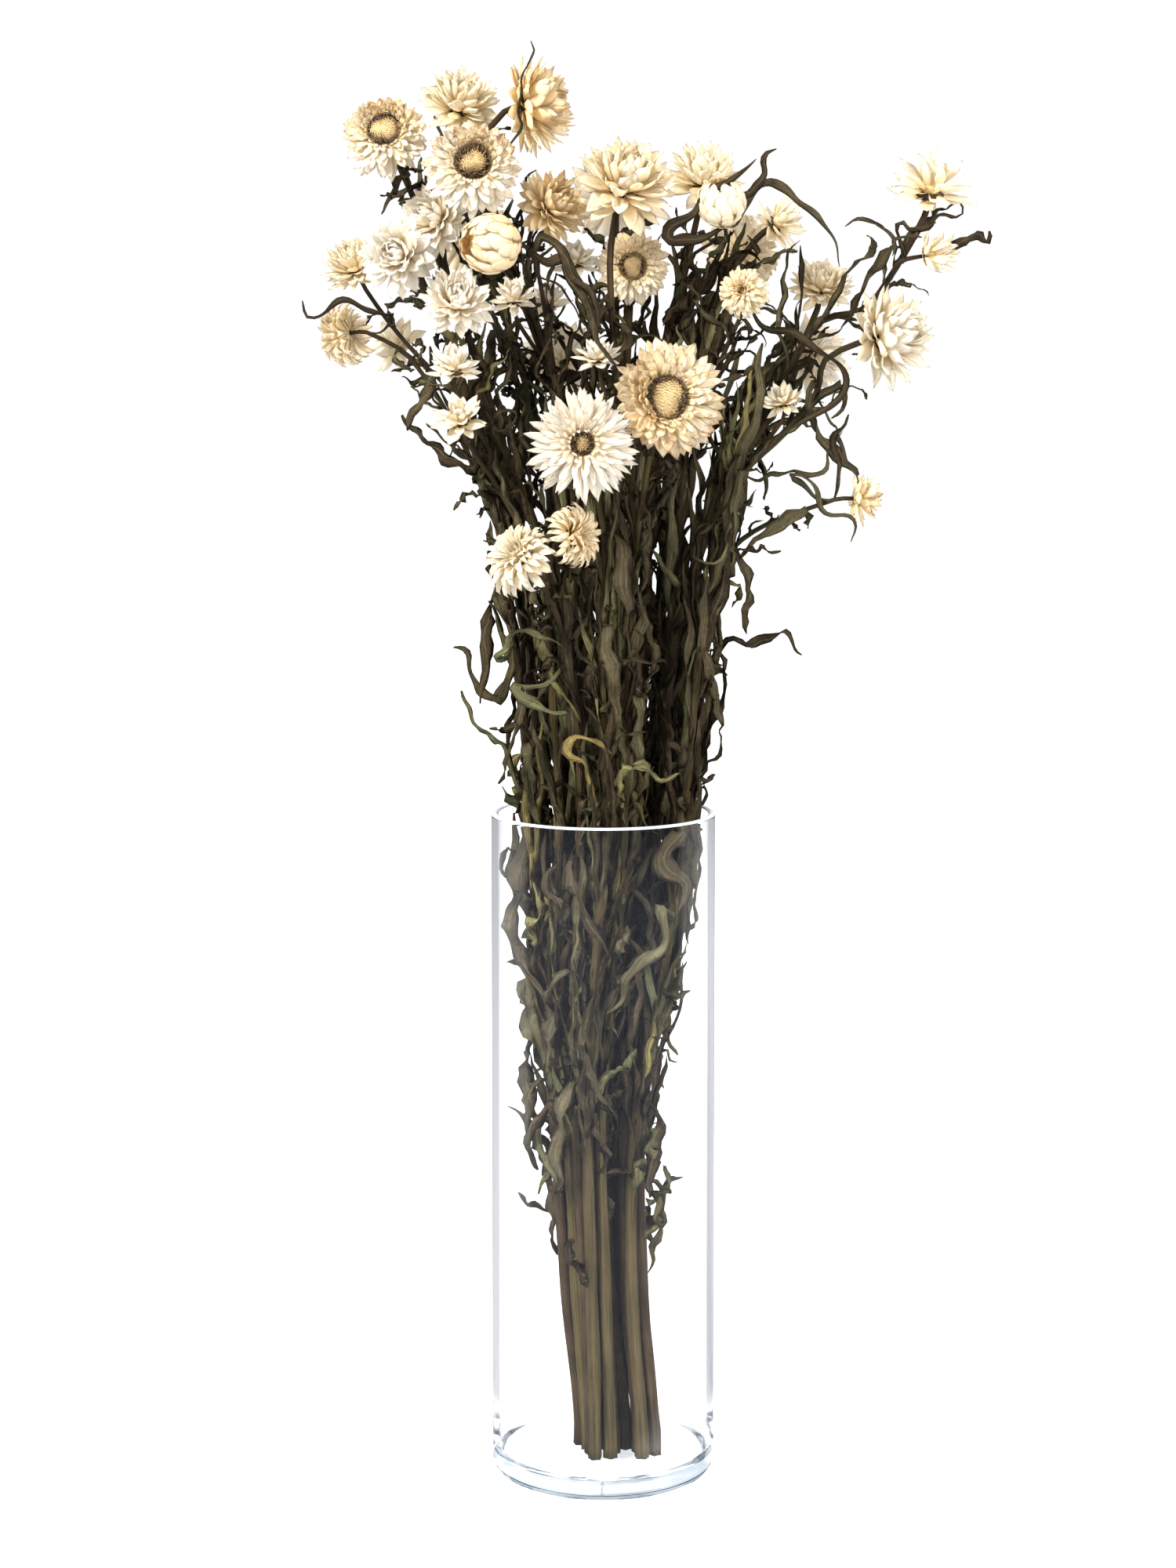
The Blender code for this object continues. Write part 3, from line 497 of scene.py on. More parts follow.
def grow_leaves(strands, heads):
    """Leaves along each stem, each drawn again until it is clear of the other plants and heads."""
    draw = random.Random(SEED)
    leaves = []
    taken = {}
    for strand in strands:
        line = strand.points
        run = run_along(line)
        others = [s for s in strands if s.plant != strand.plant]
        seg_a = np.vstack([s.points[:-1] for s in others])
        seg_b = np.vstack([s.points[1:] for s in others])
        seg_r = np.concatenate([s.radii[:-1] for s in others])
        at = (LEAF_FROM if strand.main else SIDE_LEAF_FROM) + draw.uniform(0, 0.6) * LEAF_SPACING
        size = 1.0 if strand.main else SIDE_LEAF_SIZE
        turn = draw.uniform(0, 2 * math.pi)
        while at < run[-1] - BARE_TIP:
            root = spot_at(at, run, line)
            ahead = spot_at(at + 4 * MM, run, line)
            stem_way = unit(ahead - root)
            for _ in range(LEAF_TRIES):
                angle = turn + draw.uniform(-LEAF_SWING, LEAF_SWING)
                first = unit(np.cross(stem_way, np.array([0.3, 0.9, 0.1])))
                out = math.cos(angle) * first + math.sin(angle) * np.cross(stem_way, first)
                lean = draw.uniform(*LEAF_LEAN)
                way = stem_way + lean * out
                length = draw.uniform(*LEAF_LENGTH) * size
                width = draw.uniform(*LEAF_WIDTH) * size
                bend = draw.uniform(*LEAF_BEND)
                sway = draw.uniform(-LEAF_SWAY, LEAF_SWAY)
                leaf = Leaf(strand, root, way, out, length, width, bend, sway)
                points = leaf.samples()
                if not glass_free(points):
                    continue
                distance, _ = nearest(points, seg_a, seg_b)
                if np.any(distance < seg_r + LEAF_GAP):
                    continue
                if any(inside_head(points, h, LEAF_GAP) for h in heads.values()):
                    continue
                rest = [p for other, p in taken.items() if other.strand.plant != strand.plant]
                if rest:
                    gap = np.sqrt(((points[:, None] - np.vstack(rest)[None]) ** 2).sum(2)).min()
                    if gap < LEAF_TO_LEAF:
                        continue
                taken[leaf] = points
                leaves.append(leaf)
                break
            at += LEAF_SPACING * draw.uniform(0.75, 1.2)
            turn += LEAF_TURN
    return leaves


def inside_head(points, head, gap):
    away = points - head.centre
    depth = away @ head.axis
    across = np.linalg.norm(away - depth[:, None] * head.axis, axis=1)
    wide = head.radius + gap
    deep = head.half_depth + gap
    return bool(np.any((across / wide) ** 2 + (depth / deep) ** 2 < 1))


def layout():
    heads = {name: Head(name) for name in BLOOMS}
    strands, forks = lay_strands(heads)
    ease_apart(strands, forks, heads, ROUNDS, 1)
    forks = thin_out(strands, forks)
    ease_apart(strands, forks, heads, ROUNDS_AFTER_THINNING, PARTS)
    return heads, strands, grow_leaves(strands, heads)


# Fine meshes: every piece is gathered in a Skin, as points, faces and a few numbers a point that
# the finishes read.

MARKS = ("along", "across", "tone", "age", "under")


class Skin:
    """Points, faces, marks and the finish of each face of one piece."""

    def __init__(self):
        self.points = []
        self.faces = []
        self.finishes = []
        self.marks = {name: [] for name in MARKS}
        self.count = 0

    def add(self, points, faces, finish=0, **marks):
        self.points.append(points)
        self.faces += [tuple(int(k) + self.count for k in face) for face in faces]
        self.finishes += [finish] * len(faces)
        for name in MARKS:
            value = np.broadcast_to(np.asarray(marks.get(name, 0.0), float).ravel(), (len(points),))
            self.marks[name].append(value)
        self.count += len(points)

    def mesh(self, name, materials):
        mesh = bpy.data.meshes.new(name)
        mesh.from_pydata(np.vstack(self.points).tolist(), [], self.faces)
        for finish in materials:
            mesh.materials.append(finish)
        mesh.polygons.foreach_set("material_index", self.finishes)
        mesh.polygons.foreach_set("use_smooth", [True] * len(self.faces))
        for mark in MARKS:
            layer = mesh.attributes.new(mark, "FLOAT", "POINT")
            layer.data.foreach_set("value", np.concatenate(self.marks[mark]).astype(np.float32))
        mesh.update()
        obj = bpy.data.objects.new(name, mesh)
        bpy.context.scene.collection.objects.link(obj)
        return obj


BLADES = {}


def blade_faces(rows, columns):
    """Faces of a lens-shaped blade whose two sides share the points of the border."""
    if (rows, columns) not in BLADES:
        top = np.arange(rows * columns).reshape(rows, columns)
        low = top.copy()
        low[1:-1, 1:-1] = rows * columns + np.arange((rows - 2) * (columns - 2)).reshape(rows - 2, -1)
        faces = []
        for i in range(rows - 1):
            for j in range(columns - 1):
                faces.append((top[i, j], top[i, j + 1], top[i + 1, j + 1], top[i + 1, j]))
                faces.append((low[i, j], low[i + 1, j], low[i + 1, j + 1], low[i, j + 1]))
        BLADES[rows, columns] = faces
    return BLADES[rows, columns]


def add_blade(skin, grid, thickness, finish=0, tone=0.0, age=0.0):
    """Closes a grid of points (rows along, columns across) into a thin blade."""
    rows, columns = grid.shape[:2]
    along = np.gradient(grid, axis=0)
    across = np.gradient(grid, axis=1)
    normal = np.cross(across, along)
    normal /= np.maximum(np.linalg.norm(normal, axis=2, keepdims=True), 1e-12)
    depth = np.zeros((rows, columns, 1))
    depth[1:-1, 1:-1] = thickness / 2
    top = grid + normal * depth
    low = (grid - normal * depth)[1:-1, 1:-1]
    s, t = np.meshgrid(np.linspace(0, 1, rows), np.linspace(-1, 1, columns), indexing="ij")
    inner = (slice(1, -1), slice(1, -1))
    skin.add(
        np.vstack([top.reshape(-1, 3), low.reshape(-1, 3)]),
        blade_faces(rows, columns),
        finish,
        along=np.concatenate([s.ravel(), s[inner].ravel()]),
        across=np.concatenate([t.ravel(), t[inner].ravel()]),
        tone=tone,
        age=age,
        under=np.concatenate([0.25 * np.ones(top[..., 0].size), np.ones(low[..., 0].size)])
        * np.concatenate([(depth[..., 0].ravel() == 0) * 1.0, np.ones(low[..., 0].size)]),
    )


def add_turned(skin, profile, sides, place, finish=0, tone=0.0, closed=False):
    """A closed form turned about the local Z axis from points of radius and height, ends at 0."""
    angles = np.linspace(0, 2 * math.pi, sides, endpoint=False)
    rings = []
    points = []
    for radius, height in profile:
        if radius == 0:
            rings.append([len(points)] * sides)
            points.append((0, 0, height))
        else:
            rings.append([len(points) + k for k in range(sides)])
            points += [(radius * math.cos(a), radius * math.sin(a), height) for a in angles]
    pairs = list(zip(rings, rings[1:])) + ([(rings[-1], rings[0])] if closed else [])
    faces = []
    for one, two in pairs:
        for k in range(sides):
            after = (k + 1) % sides
            if one[k] == one[after]:
                faces.append((one[k], two[after], two[k]))
            elif two[k] == two[after]:
                faces.append((one[k], one[after], two[k]))
            else:
                faces.append((one[k], one[after], two[after], two[k]))
    skin.add(place(np.array(points)), faces, finish, tone=tone)


SPIKE = [(0, 2, 1), (0, 1, 3), (1, 2, 3), (2, 0, 3)]


def add_spike(skin, root, tip, radius, finish, tone):
    """A three-sided closed point, such as a disc floret or a hair."""
    way = unit(tip - root)
    side = unit(np.cross(way, np.array([0.31, 0.52, 0.79])))
    other = np.cross(way, side)
    corners = [root + radius * (math.cos(a) * side + math.sin(a) * other) for a in (0, 2.094, 4.189)]
    skin.add(np.array([*corners, tip]), SPIKE, finish, tone=tone)


# Flower heads. Lengths are shares of the head's radius and angles are degrees.

LATE = 1.3             # how late a bract bends towards its tip
LATE_HOOK = 2.6        # and one that ends in a hook


def petal_grid(rows, columns, radius, height, length, width, slope, phi, cup, point, sway, wave, late=LATE):
    """A bract's surface in the head's own axes, from its root outwards. Late bends gather at its end."""
    s = np.linspace(0, 1, rows)
    lean = math.radians(slope[0]) + math.radians(slope[1] - slope[0]) * s**late
    step = length / (rows - 1)
    mid = 0.5 * (lean[1:] + lean[:-1])
    r = radius + np.concatenate([[0], np.cumsum(np.cos(mid))]) * step
    z = height + np.concatenate([[0], np.cumsum(np.sin(mid))]) * step
    swell = 0.42 + 0.58 * np.sin(np.minimum(s / 0.56, 1) * math.pi / 2)
    end = np.maximum(0.05, 1 - (np.maximum(s - 0.56, 0) / 0.44) ** point)
    half = (width / 2) * np.where(s < 0.56, swell, end)
    t = np.linspace(-1, 1, columns)
    out = np.array([math.cos(phi), math.sin(phi), 0.0])
    side = np.array([-math.sin(phi), math.cos(phi), 0.0])
    up = np.array([0.0, 0.0, 1.0])
    normal = -np.sin(lean)[:, None] * out + np.cos(lean)[:, None] * up
    line = r[:, None] * out + z[:, None] * up + (sway * length * s**2)[:, None] * side
    down = s[:, None]
    ruffle = np.sin(7 * down + 3 * t + phi * 5) + down * np.sin(10 * down + 4 * t + phi * 9)
    raised = half[:, None] * (cup * t**2 + wave * ruffle)
    return line[:, None] + (half[:, None] * t)[..., None] * side + raised[..., None] * normal[:, None]


# Rings of bracts for each way a head has opened: how many, root radius and height, length, width,
# slope at root and tip, cup, and how pointed (less is more pointed).
FULL = (
    (21, 0.30, 0.05, 0.70, 0.21, -26, -16, 0.25, 3.0),
    (23, 0.31, 0.09, 0.69, 0.21, -12, -4, 0.25, 3.0),
    (24, 0.32, 0.12, 0.65, 0.20, -2, 6, 0.30, 2.8),
    (23, 0.33, 0.15, 0.58, 0.18, 8, 18, 0.35, 2.6),
    (21, 0.34, 0.18, 0.48, 0.16, 18, 34, 0.40, 2.4),
    (19, 0.34, 0.20, 0.36, 0.14, 32, 60, 0.45, 2.2),
    (17, 0.35, 0.21, 0.22, 0.11, 46, 86, 0.45, 2.0),
)
FRILL = (
    (26, 0.12, 0.03, 0.88, 0.16, -14, -6, 0.20, 3.0),
    (28, 0.14, 0.07, 0.84, 0.15, -4, 2, 0.22, 2.8),
    (28, 0.16, 0.10, 0.78, 0.14, 3, 9, 0.25, 2.6),
    (26, 0.18, 0.13, 0.68, 0.12, 10, 20, 0.30, 2.4),
    (23, 0.19, 0.16, 0.54, 0.10, 20, 40, 0.35, 2.2),
    (20, 0.20, 0.19, 0.40, 0.09, 34, 72, 0.40, 2.0),
    (16, 0.20, 0.20, 0.26, 0.07, 52, 110, 0.40, 2.0),
)
HOOKED = (
    (17, 0.16, 0.03, 0.80, 0.19, 4, -120, 0.30, 2.2),
    (19, 0.18, 0.08, 0.84, 0.19, 20, -112, 0.30, 2.2),
    (20, 0.20, 0.14, 0.84, 0.18, 36, -98, 0.30, 2.2),
    (20, 0.20, 0.20, 0.78, 0.17, 52, -72, 0.35, 2.2),
    (18, 0.19, 0.26, 0.66, 0.15, 64, -34, 0.35, 2.0),
    (15, 0.17, 0.30, 0.50, 0.12, 72, 20, 0.40, 2.0),
    (11, 0.13, 0.32, 0.34, 0.09, 80, 70, 0.40, 2.0),
)
DOUBLE = (
    (11, 0.14, 0.04, 0.82, 0.34, -18, -2, 0.30, 2.0),
    (13, 0.18, 0.08, 0.86, 0.34, -4, 12, 0.35, 2.0),
    (13, 0.21, 0.13, 0.86, 0.32, 10, 30, 0.40, 2.0),
    (13, 0.22, 0.18, 0.84, 0.31, 26, 54, 0.45, 2.0),
    (12, 0.21, 0.24, 0.80, 0.30, 42, 78, 0.50, 2.0),
    (11, 0.18, 0.30, 0.72, 0.27, 54, 102, 0.55, 2.0),
    (9, 0.14, 0.35, 0.62, 0.24, 68, 122, 0.60, 2.0),
    (6, 0.08, 0.40, 0.50, 0.20, 80, 136, 0.60, 2.0),
)
STAR = (
    (6, 0.10, 0.06, 0.90, 0.42, -12, 14, 0.35, 1.5),
    (6, 0.12, 0.12, 0.92, 0.42, 8, 30, 0.40, 1.5),
    (6, 0.13, 0.19, 0.88, 0.40, 30, 56, 0.50, 1.6),
    (5, 0.12, 0.26, 0.80, 0.36, 54, 86, 0.55, 1.6),
    (4, 0.08, 0.32, 0.70, 0.32, 70, 106, 0.60, 1.6),
)
SLIM = (
    (5, 0.18, 0.10, 0.94, 0.46, 10, 46, 0.45, 1.6),
    (5, 0.18, 0.18, 1.10, 0.46, 40, 70, 0.55, 1.6),
    (5, 0.15, 0.28, 1.15, 0.42, 58, 86, 0.60, 1.6),
    (4, 0.10, 0.36, 1.10, 0.36, 72, 98, 0.65, 1.6),
)
# A bud's scales lie on a globe: how many, the angle up from its underside, length, width, how far
# they open from the globe in degrees.
BUD_SCALES = (
    (8, 22, 0.70, 0.46, 0),
    (9, 40, 0.80, 0.50, 0),
    (10, 58, 0.86, 0.50, 2),
    (10, 76, 0.86, 0.48, 3),
    (9, 92, 0.84, 0.44, 4),
    (8, 106, 0.78, 0.40, 6),
    (6, 120, 0.66, 0.34, 8),
)
BUD_GLOBE = (0.80, 0.86)  # radius and height of the centre of the globe

# How each head looks: the way it has opened, radius of its disc, warmth of the bracts from white
# to tan, how browned the tips are, and how dark the fuzz round the disc is.
LOOKS = {
    "a1": (FULL, 0.33, 0.72, 0.9, 1.0), "a2": (DOUBLE, 0.0, 0.50, 0.10, 0.0),
    "a3": (DOUBLE, 0.22, 0.85, 0.30, 0.3), "a4": (FULL, 0.26, 0.50, 1.0, 0.6),
    "a5": (DOUBLE, 0.0, 0.15, 0.05, 0.0), "a6": (DOUBLE, 0.20, 0.80, 0.35, 0.2),
    "a7": (None, 0.0, 0.72, 0.10, 0.0), "a8": (DOUBLE, 0.0, 0.05, 0.05, 0.0),
    "a9": (DOUBLE, 0.0, 0.50, 0.20, 0.0), "b1": (HOOKED, 0.22, 0.70, 0.45, 0.7),
    "b2": (DOUBLE, 0.0, 0.10, 0.05, 0.0), "b3": (STAR, 0.0, 0.15, 0.05, 0.0),
    "b4": (STAR, 0.0, 0.10, 0.05, 0.0), "b5": (STAR, 0.0, 0.30, 0.25, 0.0),
    "b6": (DOUBLE, 0.0, 0.58, 0.15, 0.0), "b7": (DOUBLE, 0.0, 0.50, 0.10, 0.0),
    "b8": (FULL, 0.30, 0.60, 0.30, 0.4), "b9": (STAR, 0.0, 0.05, 0.05, 0.0),
    "c1": (None, 0.0, 0.45, 0.10, 0.0), "c2": (STAR, 0.0, 0.40, 0.10, 0.0),
    "c3": (HOOKED, 0.22, 0.75, 0.35, 0.5), "c4": (DOUBLE, 0.0, 0.45, 0.10, 0.0),
    "c5": (STAR, 0.0, 0.40, 0.05, 0.0), "c6": (SLIM, 0.0, 0.45, 0.05, 0.0),
    "c7": (DOUBLE, 0.0, 0.30, 0.05, 0.0), "c8": (SLIM, 0.0, 0.20, 0.10, 0.0),
    "c9": (FULL, 0.35, 0.66, 0.75, 1.0), "d1": (FRILL, 0.14, 0.18, 0.30, 0.5),
    "d2": (HOOKED, 0.22, 0.50, 0.25, 0.7), "d3": (HOOKED, 0.16, 0.66, 0.30, 0.3),
    "d4": (STAR, 0.0, 0.30, 0.05, 0.0), "d5": (STAR, 0.0, 0.75, 0.35, 0.0),
    "d6": (STAR, 0.0, 0.20, 0.05, 0.0), "d7": (STAR, 0.0, 0.10, 0.05, 0.0),
    "d8": (FULL, 0.36, 0.50, 0.40, 0.8), "d9": (DOUBLE, 0.0, 0.35, 0.10, 0.0),
    "e1": (HOOKED, 0.22, 0.45, 0.30, 0.6), "e2": (DOUBLE, 0.0, 0.20, 0.10, 0.0),
    "e3": (STAR, 0.0, 0.35, 0.10, 0.0), "e4": (DOUBLE, 0.0, 0.30, 0.10, 0.0),
}
# Heads that have opened unevenly: the fullest side in degrees from straight down towards the
# right, how much shorter the bracts opposite are, how much further these stand up in degrees, and
# how much fresher the full side looks.
UNEVEN = {
    "a1": (0, 0.42, 66, 0.9), "a4": (-15, 0.36, 58, 0.95), "a3": (20, 0.10, 20, 0.2),
    "b6": (0, 0.12, 26, 0.3), "c9": (105, 0.14, 58, 0.3), "c3": (0, 0.10, 20, 0.3),
    "d1": (20, 0.08, 24, 0.7), "d2": (-20, 0.20, 34, 0.4), "b8": (0, 0.16, 26, 0.5),
    "a2": (0, 0.10, 20, 0.2), "c7": (40, 0.08, 18, 0.2), "b1": (0, 0.16, 26, 0.3),
    "d8": (10, 0.20, 40, 0.6), "a8": (-30, 0.08, 16, 0.2), "b2": (30, 0.06, 14, 0.2),
}
PAPER_THICKNESS = 0.30 * MM
BRACT_COLUMNS = 5      # points across a bract
LARGE_HEAD = 15 * MM   # radius from which bracts get one more row of points
FALLEN = 0.04          # share of the bracts that are missing
BLOOM_SEED = 100       # to which a head's number is added


def head_place(head):
    """Turns points from the head's own axes, in metres, into the bunch's."""
    turn = Vector(head.axis).to_track_quat("Z", "Y").to_matrix()
    rows = np.array([list(row) for row in turn])
    seat = head.seat + head.axis * SEAT_GAP
    return lambda points: points @ rows.T + seat


def add_bract(skin, place, grid, tone, age):
    """One papery bract, turned from the head's own axes into its place."""
    surface = place(grid.reshape(-1, 3)).reshape(grid.shape)
    add_blade(skin, surface, PAPER_THICKNESS, tone=min(1.0, max(0.0, tone)), age=age)


def add_rings(skin, head, rings, warmth, browned, draw):
    """Ring upon ring of bracts, shorter and more upright on the side that has opened less."""
    size = head.radius
    place = head_place(head)
    rows = 8 if size > LARGE_HEAD else 7
    late = LATE_HOOK if rings is HOOKED else LATE
    sideways = place(np.array([[1.0, 0, 0], [0, 1.0, 0], [0, 0, 0]]))[:, 2]
    from_down, shorter, upright, fresher = UNEVEN.get(head.name, (0, 0, 0, 0))
    full_side = math.atan2(sideways[2] - sideways[1], sideways[2] - sideways[0]) + math.radians(from_down)
    for row, (count, radius, height, length, width, low, high, cup, point) in enumerate(rings):
        phase = draw.uniform(0, 1)
        for k in range(count):
            if draw.random() < FALLEN:
                continue
            phi = 2 * math.pi * (k + phase + draw.uniform(-0.30, 0.30)) / count
            folded = 0.5 - 0.5 * math.cos(phi - full_side)
            tilt = draw.uniform(-9, 9) + upright * folded**1.5
            grid = petal_grid(
                rows, BRACT_COLUMNS,
                radius * size, (height + draw.uniform(-0.015, 0.015)) * size,
                length * size * draw.uniform(0.82, 1.04) * (1 + 0.12 * shorter - shorter * folded),
                width * size * draw.uniform(0.78, 1.18),
                (low + tilt * 0.5, high + tilt + draw.uniform(-12, 12)), phi,
                cup * draw.uniform(0.3, 1.7), point * draw.uniform(0.85, 1.2),
                draw.uniform(-0.18, 0.18), draw.uniform(0.02, 0.26), late,
            )
            lower = 1 - row / len(rings)
            fresh = 1 - fresher * (1 - folded)
            tone = warmth * (0.4 + 0.6 * fresh) + draw.uniform(-0.18, 0.18) - 0.10 * lower
            age = browned * draw.uniform(0.4, 1.3) * (1.3 - 0.7 * lower) * fresh * 1.6
            add_bract(skin, place, grid, tone, age)


def add_bud(skin, head, warmth, browned, draw):
    """A closed head: scales that overlap on a globe, round a core that fills it."""
    size = head.radius
    place = head_place(head)
    globe, centre = BUD_GLOBE
    for count, angle, length, width, opened in BUD_SCALES:
        phase = draw.uniform(0, 1)
        for k in range(count):
            phi = 2 * math.pi * (k + phase + draw.uniform(-0.1, 0.1)) / count
            theta = math.radians(angle)
            reach = length * draw.uniform(0.9, 1.08)
            start = angle + opened * draw.uniform(-0.4, 0.4) - 3
            end = angle + math.degrees(reach / globe) - opened * draw.uniform(1.2, 3.4)
            grid = petal_grid(
                8, BRACT_COLUMNS, globe * math.sin(theta) * size, (centre - globe * math.cos(theta)) * size,
                reach * size, width * size * draw.uniform(0.9, 1.1), (start, end), phi,
                0.30, 2.6, draw.uniform(-0.05, 0.05), 0.04,
            )
            tone = warmth + draw.uniform(-0.14, 0.14)
            add_bract(skin, place, grid, tone, browned * draw.uniform(0.3, 1.2))
    core = [(0, 0.10), (0.45, 0.28), (0.66, 0.60), (0.66, 0.98), (0.42, 1.32), (0, 1.46)]
    add_turned(skin, [(r * size, z * size) for r, z in core], 14, place, 0, warmth)


# Rings of short scales under a head: how many, root radius and height, length, width and slope.
UNDER_SCALES = (
    (7, 0.05, 0.005, 0.22, 0.17, 8),
    (9, 0.09, 0.012, 0.26, 0.18, 12),
    (11, 0.16, 0.03, 0.28, 0.18, 10),
)


def add_underside(skin, head, warmth, draw):
    """The green-brown seat of the head, with short papery scales that overlap on its underside."""
    size = head.radius
    place = head_place(head)
    wide = 0.22 if head.kind == "bud" else 0.30
    seat = [(0, 0.0), (0.055, 0.0), (0.12, 0.02), (wide, 0.08), (wide, 0.15), (0, 0.20)]
    add_turned(skin, [(r * size, z * size) for r, z in seat], 12, place, 2, 0.45)
    for count, radius, height, length, width, slope in UNDER_SCALES:
        phase = draw.uniform(0, 1)
        for k in range(count):
            grid = petal_grid(
                5, 3, radius * size, height * size, length * size, width * size,
                (slope, slope + 14), 2 * math.pi * (k + phase) / count, -0.2, 2.4, 0.0, 0.0,
            )
            add_bract(skin, place, grid, warmth * 0.5 + 0.5, 0.25)


FLORET_TURN = 2.39996   # radians from one floret to the next
FLORET_RADIUS = 0.020
HAIR_RADIUS = 0.014


def add_disc(skin, head, disc, dark, draw):
    """The domed disc of florets, and the ring of dark fuzz that stands round it."""
    size = head.radius
    whole = head_place(head)
    two, three, heavy = (draw.uniform(0, 6) for _ in range(3))

    def place(points):
        angles = np.arctan2(points[:, 1], points[:, 0])
        uneven = 1 + 0.13 * np.cos(2 * angles + two) + 0.07 * np.cos(3 * angles + three)
        return whole(points * np.column_stack([uneven, uneven, np.ones(len(points))]))

    base = 0.14
    dome = 0.12 + 0.10 * disc
    button = 0.80 * disc
    profile = [(0, base - 0.06), (disc * 1.1, base - 0.05), (disc * 1.06, base), (button, base + 0.02)]
    profile += [(button * math.cos(a), base + 0.02 + dome * math.sin(a)) for a in (0.35, 0.7, 1.05, 1.35)]
    profile += [(0, base + 0.02 + dome)]
    add_turned(skin, [(r * size, z * size) for r, z in profile], 24, place, 1, 0.15)
    florets = int(60 + 700 * disc**2)
    for k in range(florets):
        rim = math.sqrt((k + 0.5) / florets)
        reach = button * rim
        angle = k * FLORET_TURN
        z = base + 0.02 + dome * math.sqrt(max(0.0, 1 - (0.96 * rim) ** 2))
        lean = 0.5 * rim
        tall = draw.uniform(0.035, 0.06) * (1 + 0.6 * rim)
        root = np.array([reach * math.cos(angle), reach * math.sin(angle), z - 0.012]) * size
        way = np.array([lean * math.cos(angle), lean * math.sin(angle), 1.0])
        tip = root + unit(way + np.array([draw.uniform(-0.3, 0.3), draw.uniform(-0.3, 0.3), 0])) * tall * size
        tone = 0.02 + 0.3 * draw.random() + 0.15 * rim**2 + (0.5 * dark if rim > 0.86 else 0.0)
        both = place(np.array([root, tip]))
        add_spike(skin, both[0], both[1], FLORET_RADIUS * size, 1, tone)
    hairs = int(1900 * disc * max(dark, 0.25))
    for _ in range(hairs):
        angle = draw.uniform(0, 2 * math.pi)
        if draw.random() > 0.70 + 0.35 * math.cos(angle - heavy):
            continue
        reach = disc * draw.uniform(0.72, 1.18)
        root = np.array([reach * math.cos(angle), reach * math.sin(angle), base - 0.02]) * size
        way = np.array([
            draw.uniform(-0.2, 0.6) * math.cos(angle) + draw.uniform(-0.3, 0.3),
            draw.uniform(-0.2, 0.6) * math.sin(angle) + draw.uniform(-0.3, 0.3), 1.0,
        ])
        tip = root + unit(way) * draw.uniform(0.10, 0.26) * size
        both = place(np.array([root, tip]))
        tone = 0.35 + 0.65 * dark * draw.uniform(0.3, 1.0)
        add_spike(skin, both[0], both[1], HAIR_RADIUS * size, 1, tone)


def build_bloom(number, head, materials):
    """One flower head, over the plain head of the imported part."""
    rings, disc, warmth, browned, dark = LOOKS[head.name]
    draw = random.Random(BLOOM_SEED + number)
    skin = Skin()
    add_underside(skin, head, warmth, draw)
    if rings is None:
        add_bud(skin, head, warmth, browned, draw)
    else:
        add_rings(skin, head, rings, warmth, browned, draw)
        if disc:
            add_disc(skin, head, disc, dark, draw)
        else:
            core = [(0, 0.12), (0.16, 0.16), (0.20, 0.34), (0.12, 0.52), (0, 0.58)]
            place = head_place(head)
            add_turned(skin, [(r * head.radius, z * head.radius) for r, z in core], 10, place, 0, 0.8)
    piece = skin.mesh(f"strawflower_head_{number:02d}", materials)
    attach(piece, "root")
    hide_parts(f"{head.kind}_bloom_{number:02d}")


# Stems and leaves.

EYE = np.array([-0.0068, -1.5, 0.525])
LOOKS_DOWN = 4.9                    # degrees by which the camera looks down
LEAF_SHEET = 0.35 * MM
EXTRA_SPACING = (4 * MM, 7 * MM)   # between the small leaves, low in the bunch and high in it
EXTRA_TRIES = 12
FIRST_SMALL_LEAF = 118 * MM         # along a main stem
FIRST_ON_SIDE = 10 * MM             # and along a side stem
BARE_NECK = 20 * MM                 # of a stem, without small leaves
SMALL_ON_SIDE = 0.78                # size of a side stem's small leaves
OVER_BOX = 7 * MM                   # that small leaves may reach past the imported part's box
REACH_ASIDE = 19 * MM               # of a small leaf from its foot, except where the bunch is loose
PRESSED_IN = 4                      # points of a leaf that may lie pressed against another stem
LOOSE_REACH = 1.8                   # by how much it may reach further aside there
LOOSE_ABOVE = 420 * MM
LOOSE_RIGHT_OF = -30 * MM
ABOVE_HEAD = 4 * MM                 # that a small leaf may rise over the centre of its stem's head
LOWEST_SMALL_LEAF = 16 * MM
LEAVES_APART = 0.8 * MM
LEAF_NEAR = 60 * MM                 # in height, within which leaves are tested against each other
FREE_DEPTH = 20 * MM                # heads further back and lower than this don't stand free
FREE_HEIGHT = 560 * MM
FREE_SHARE = 0.75                   # of a head's radius that leaves keep out of
FINE_RIB = 26                       # points along a broad leaf
SLIMMER = ((0.30, 0.45), (0.9, 0.62))  # heights in metres, and the width of broad leaves there
STALK_SEED = 500                    # to which a stem's number is added


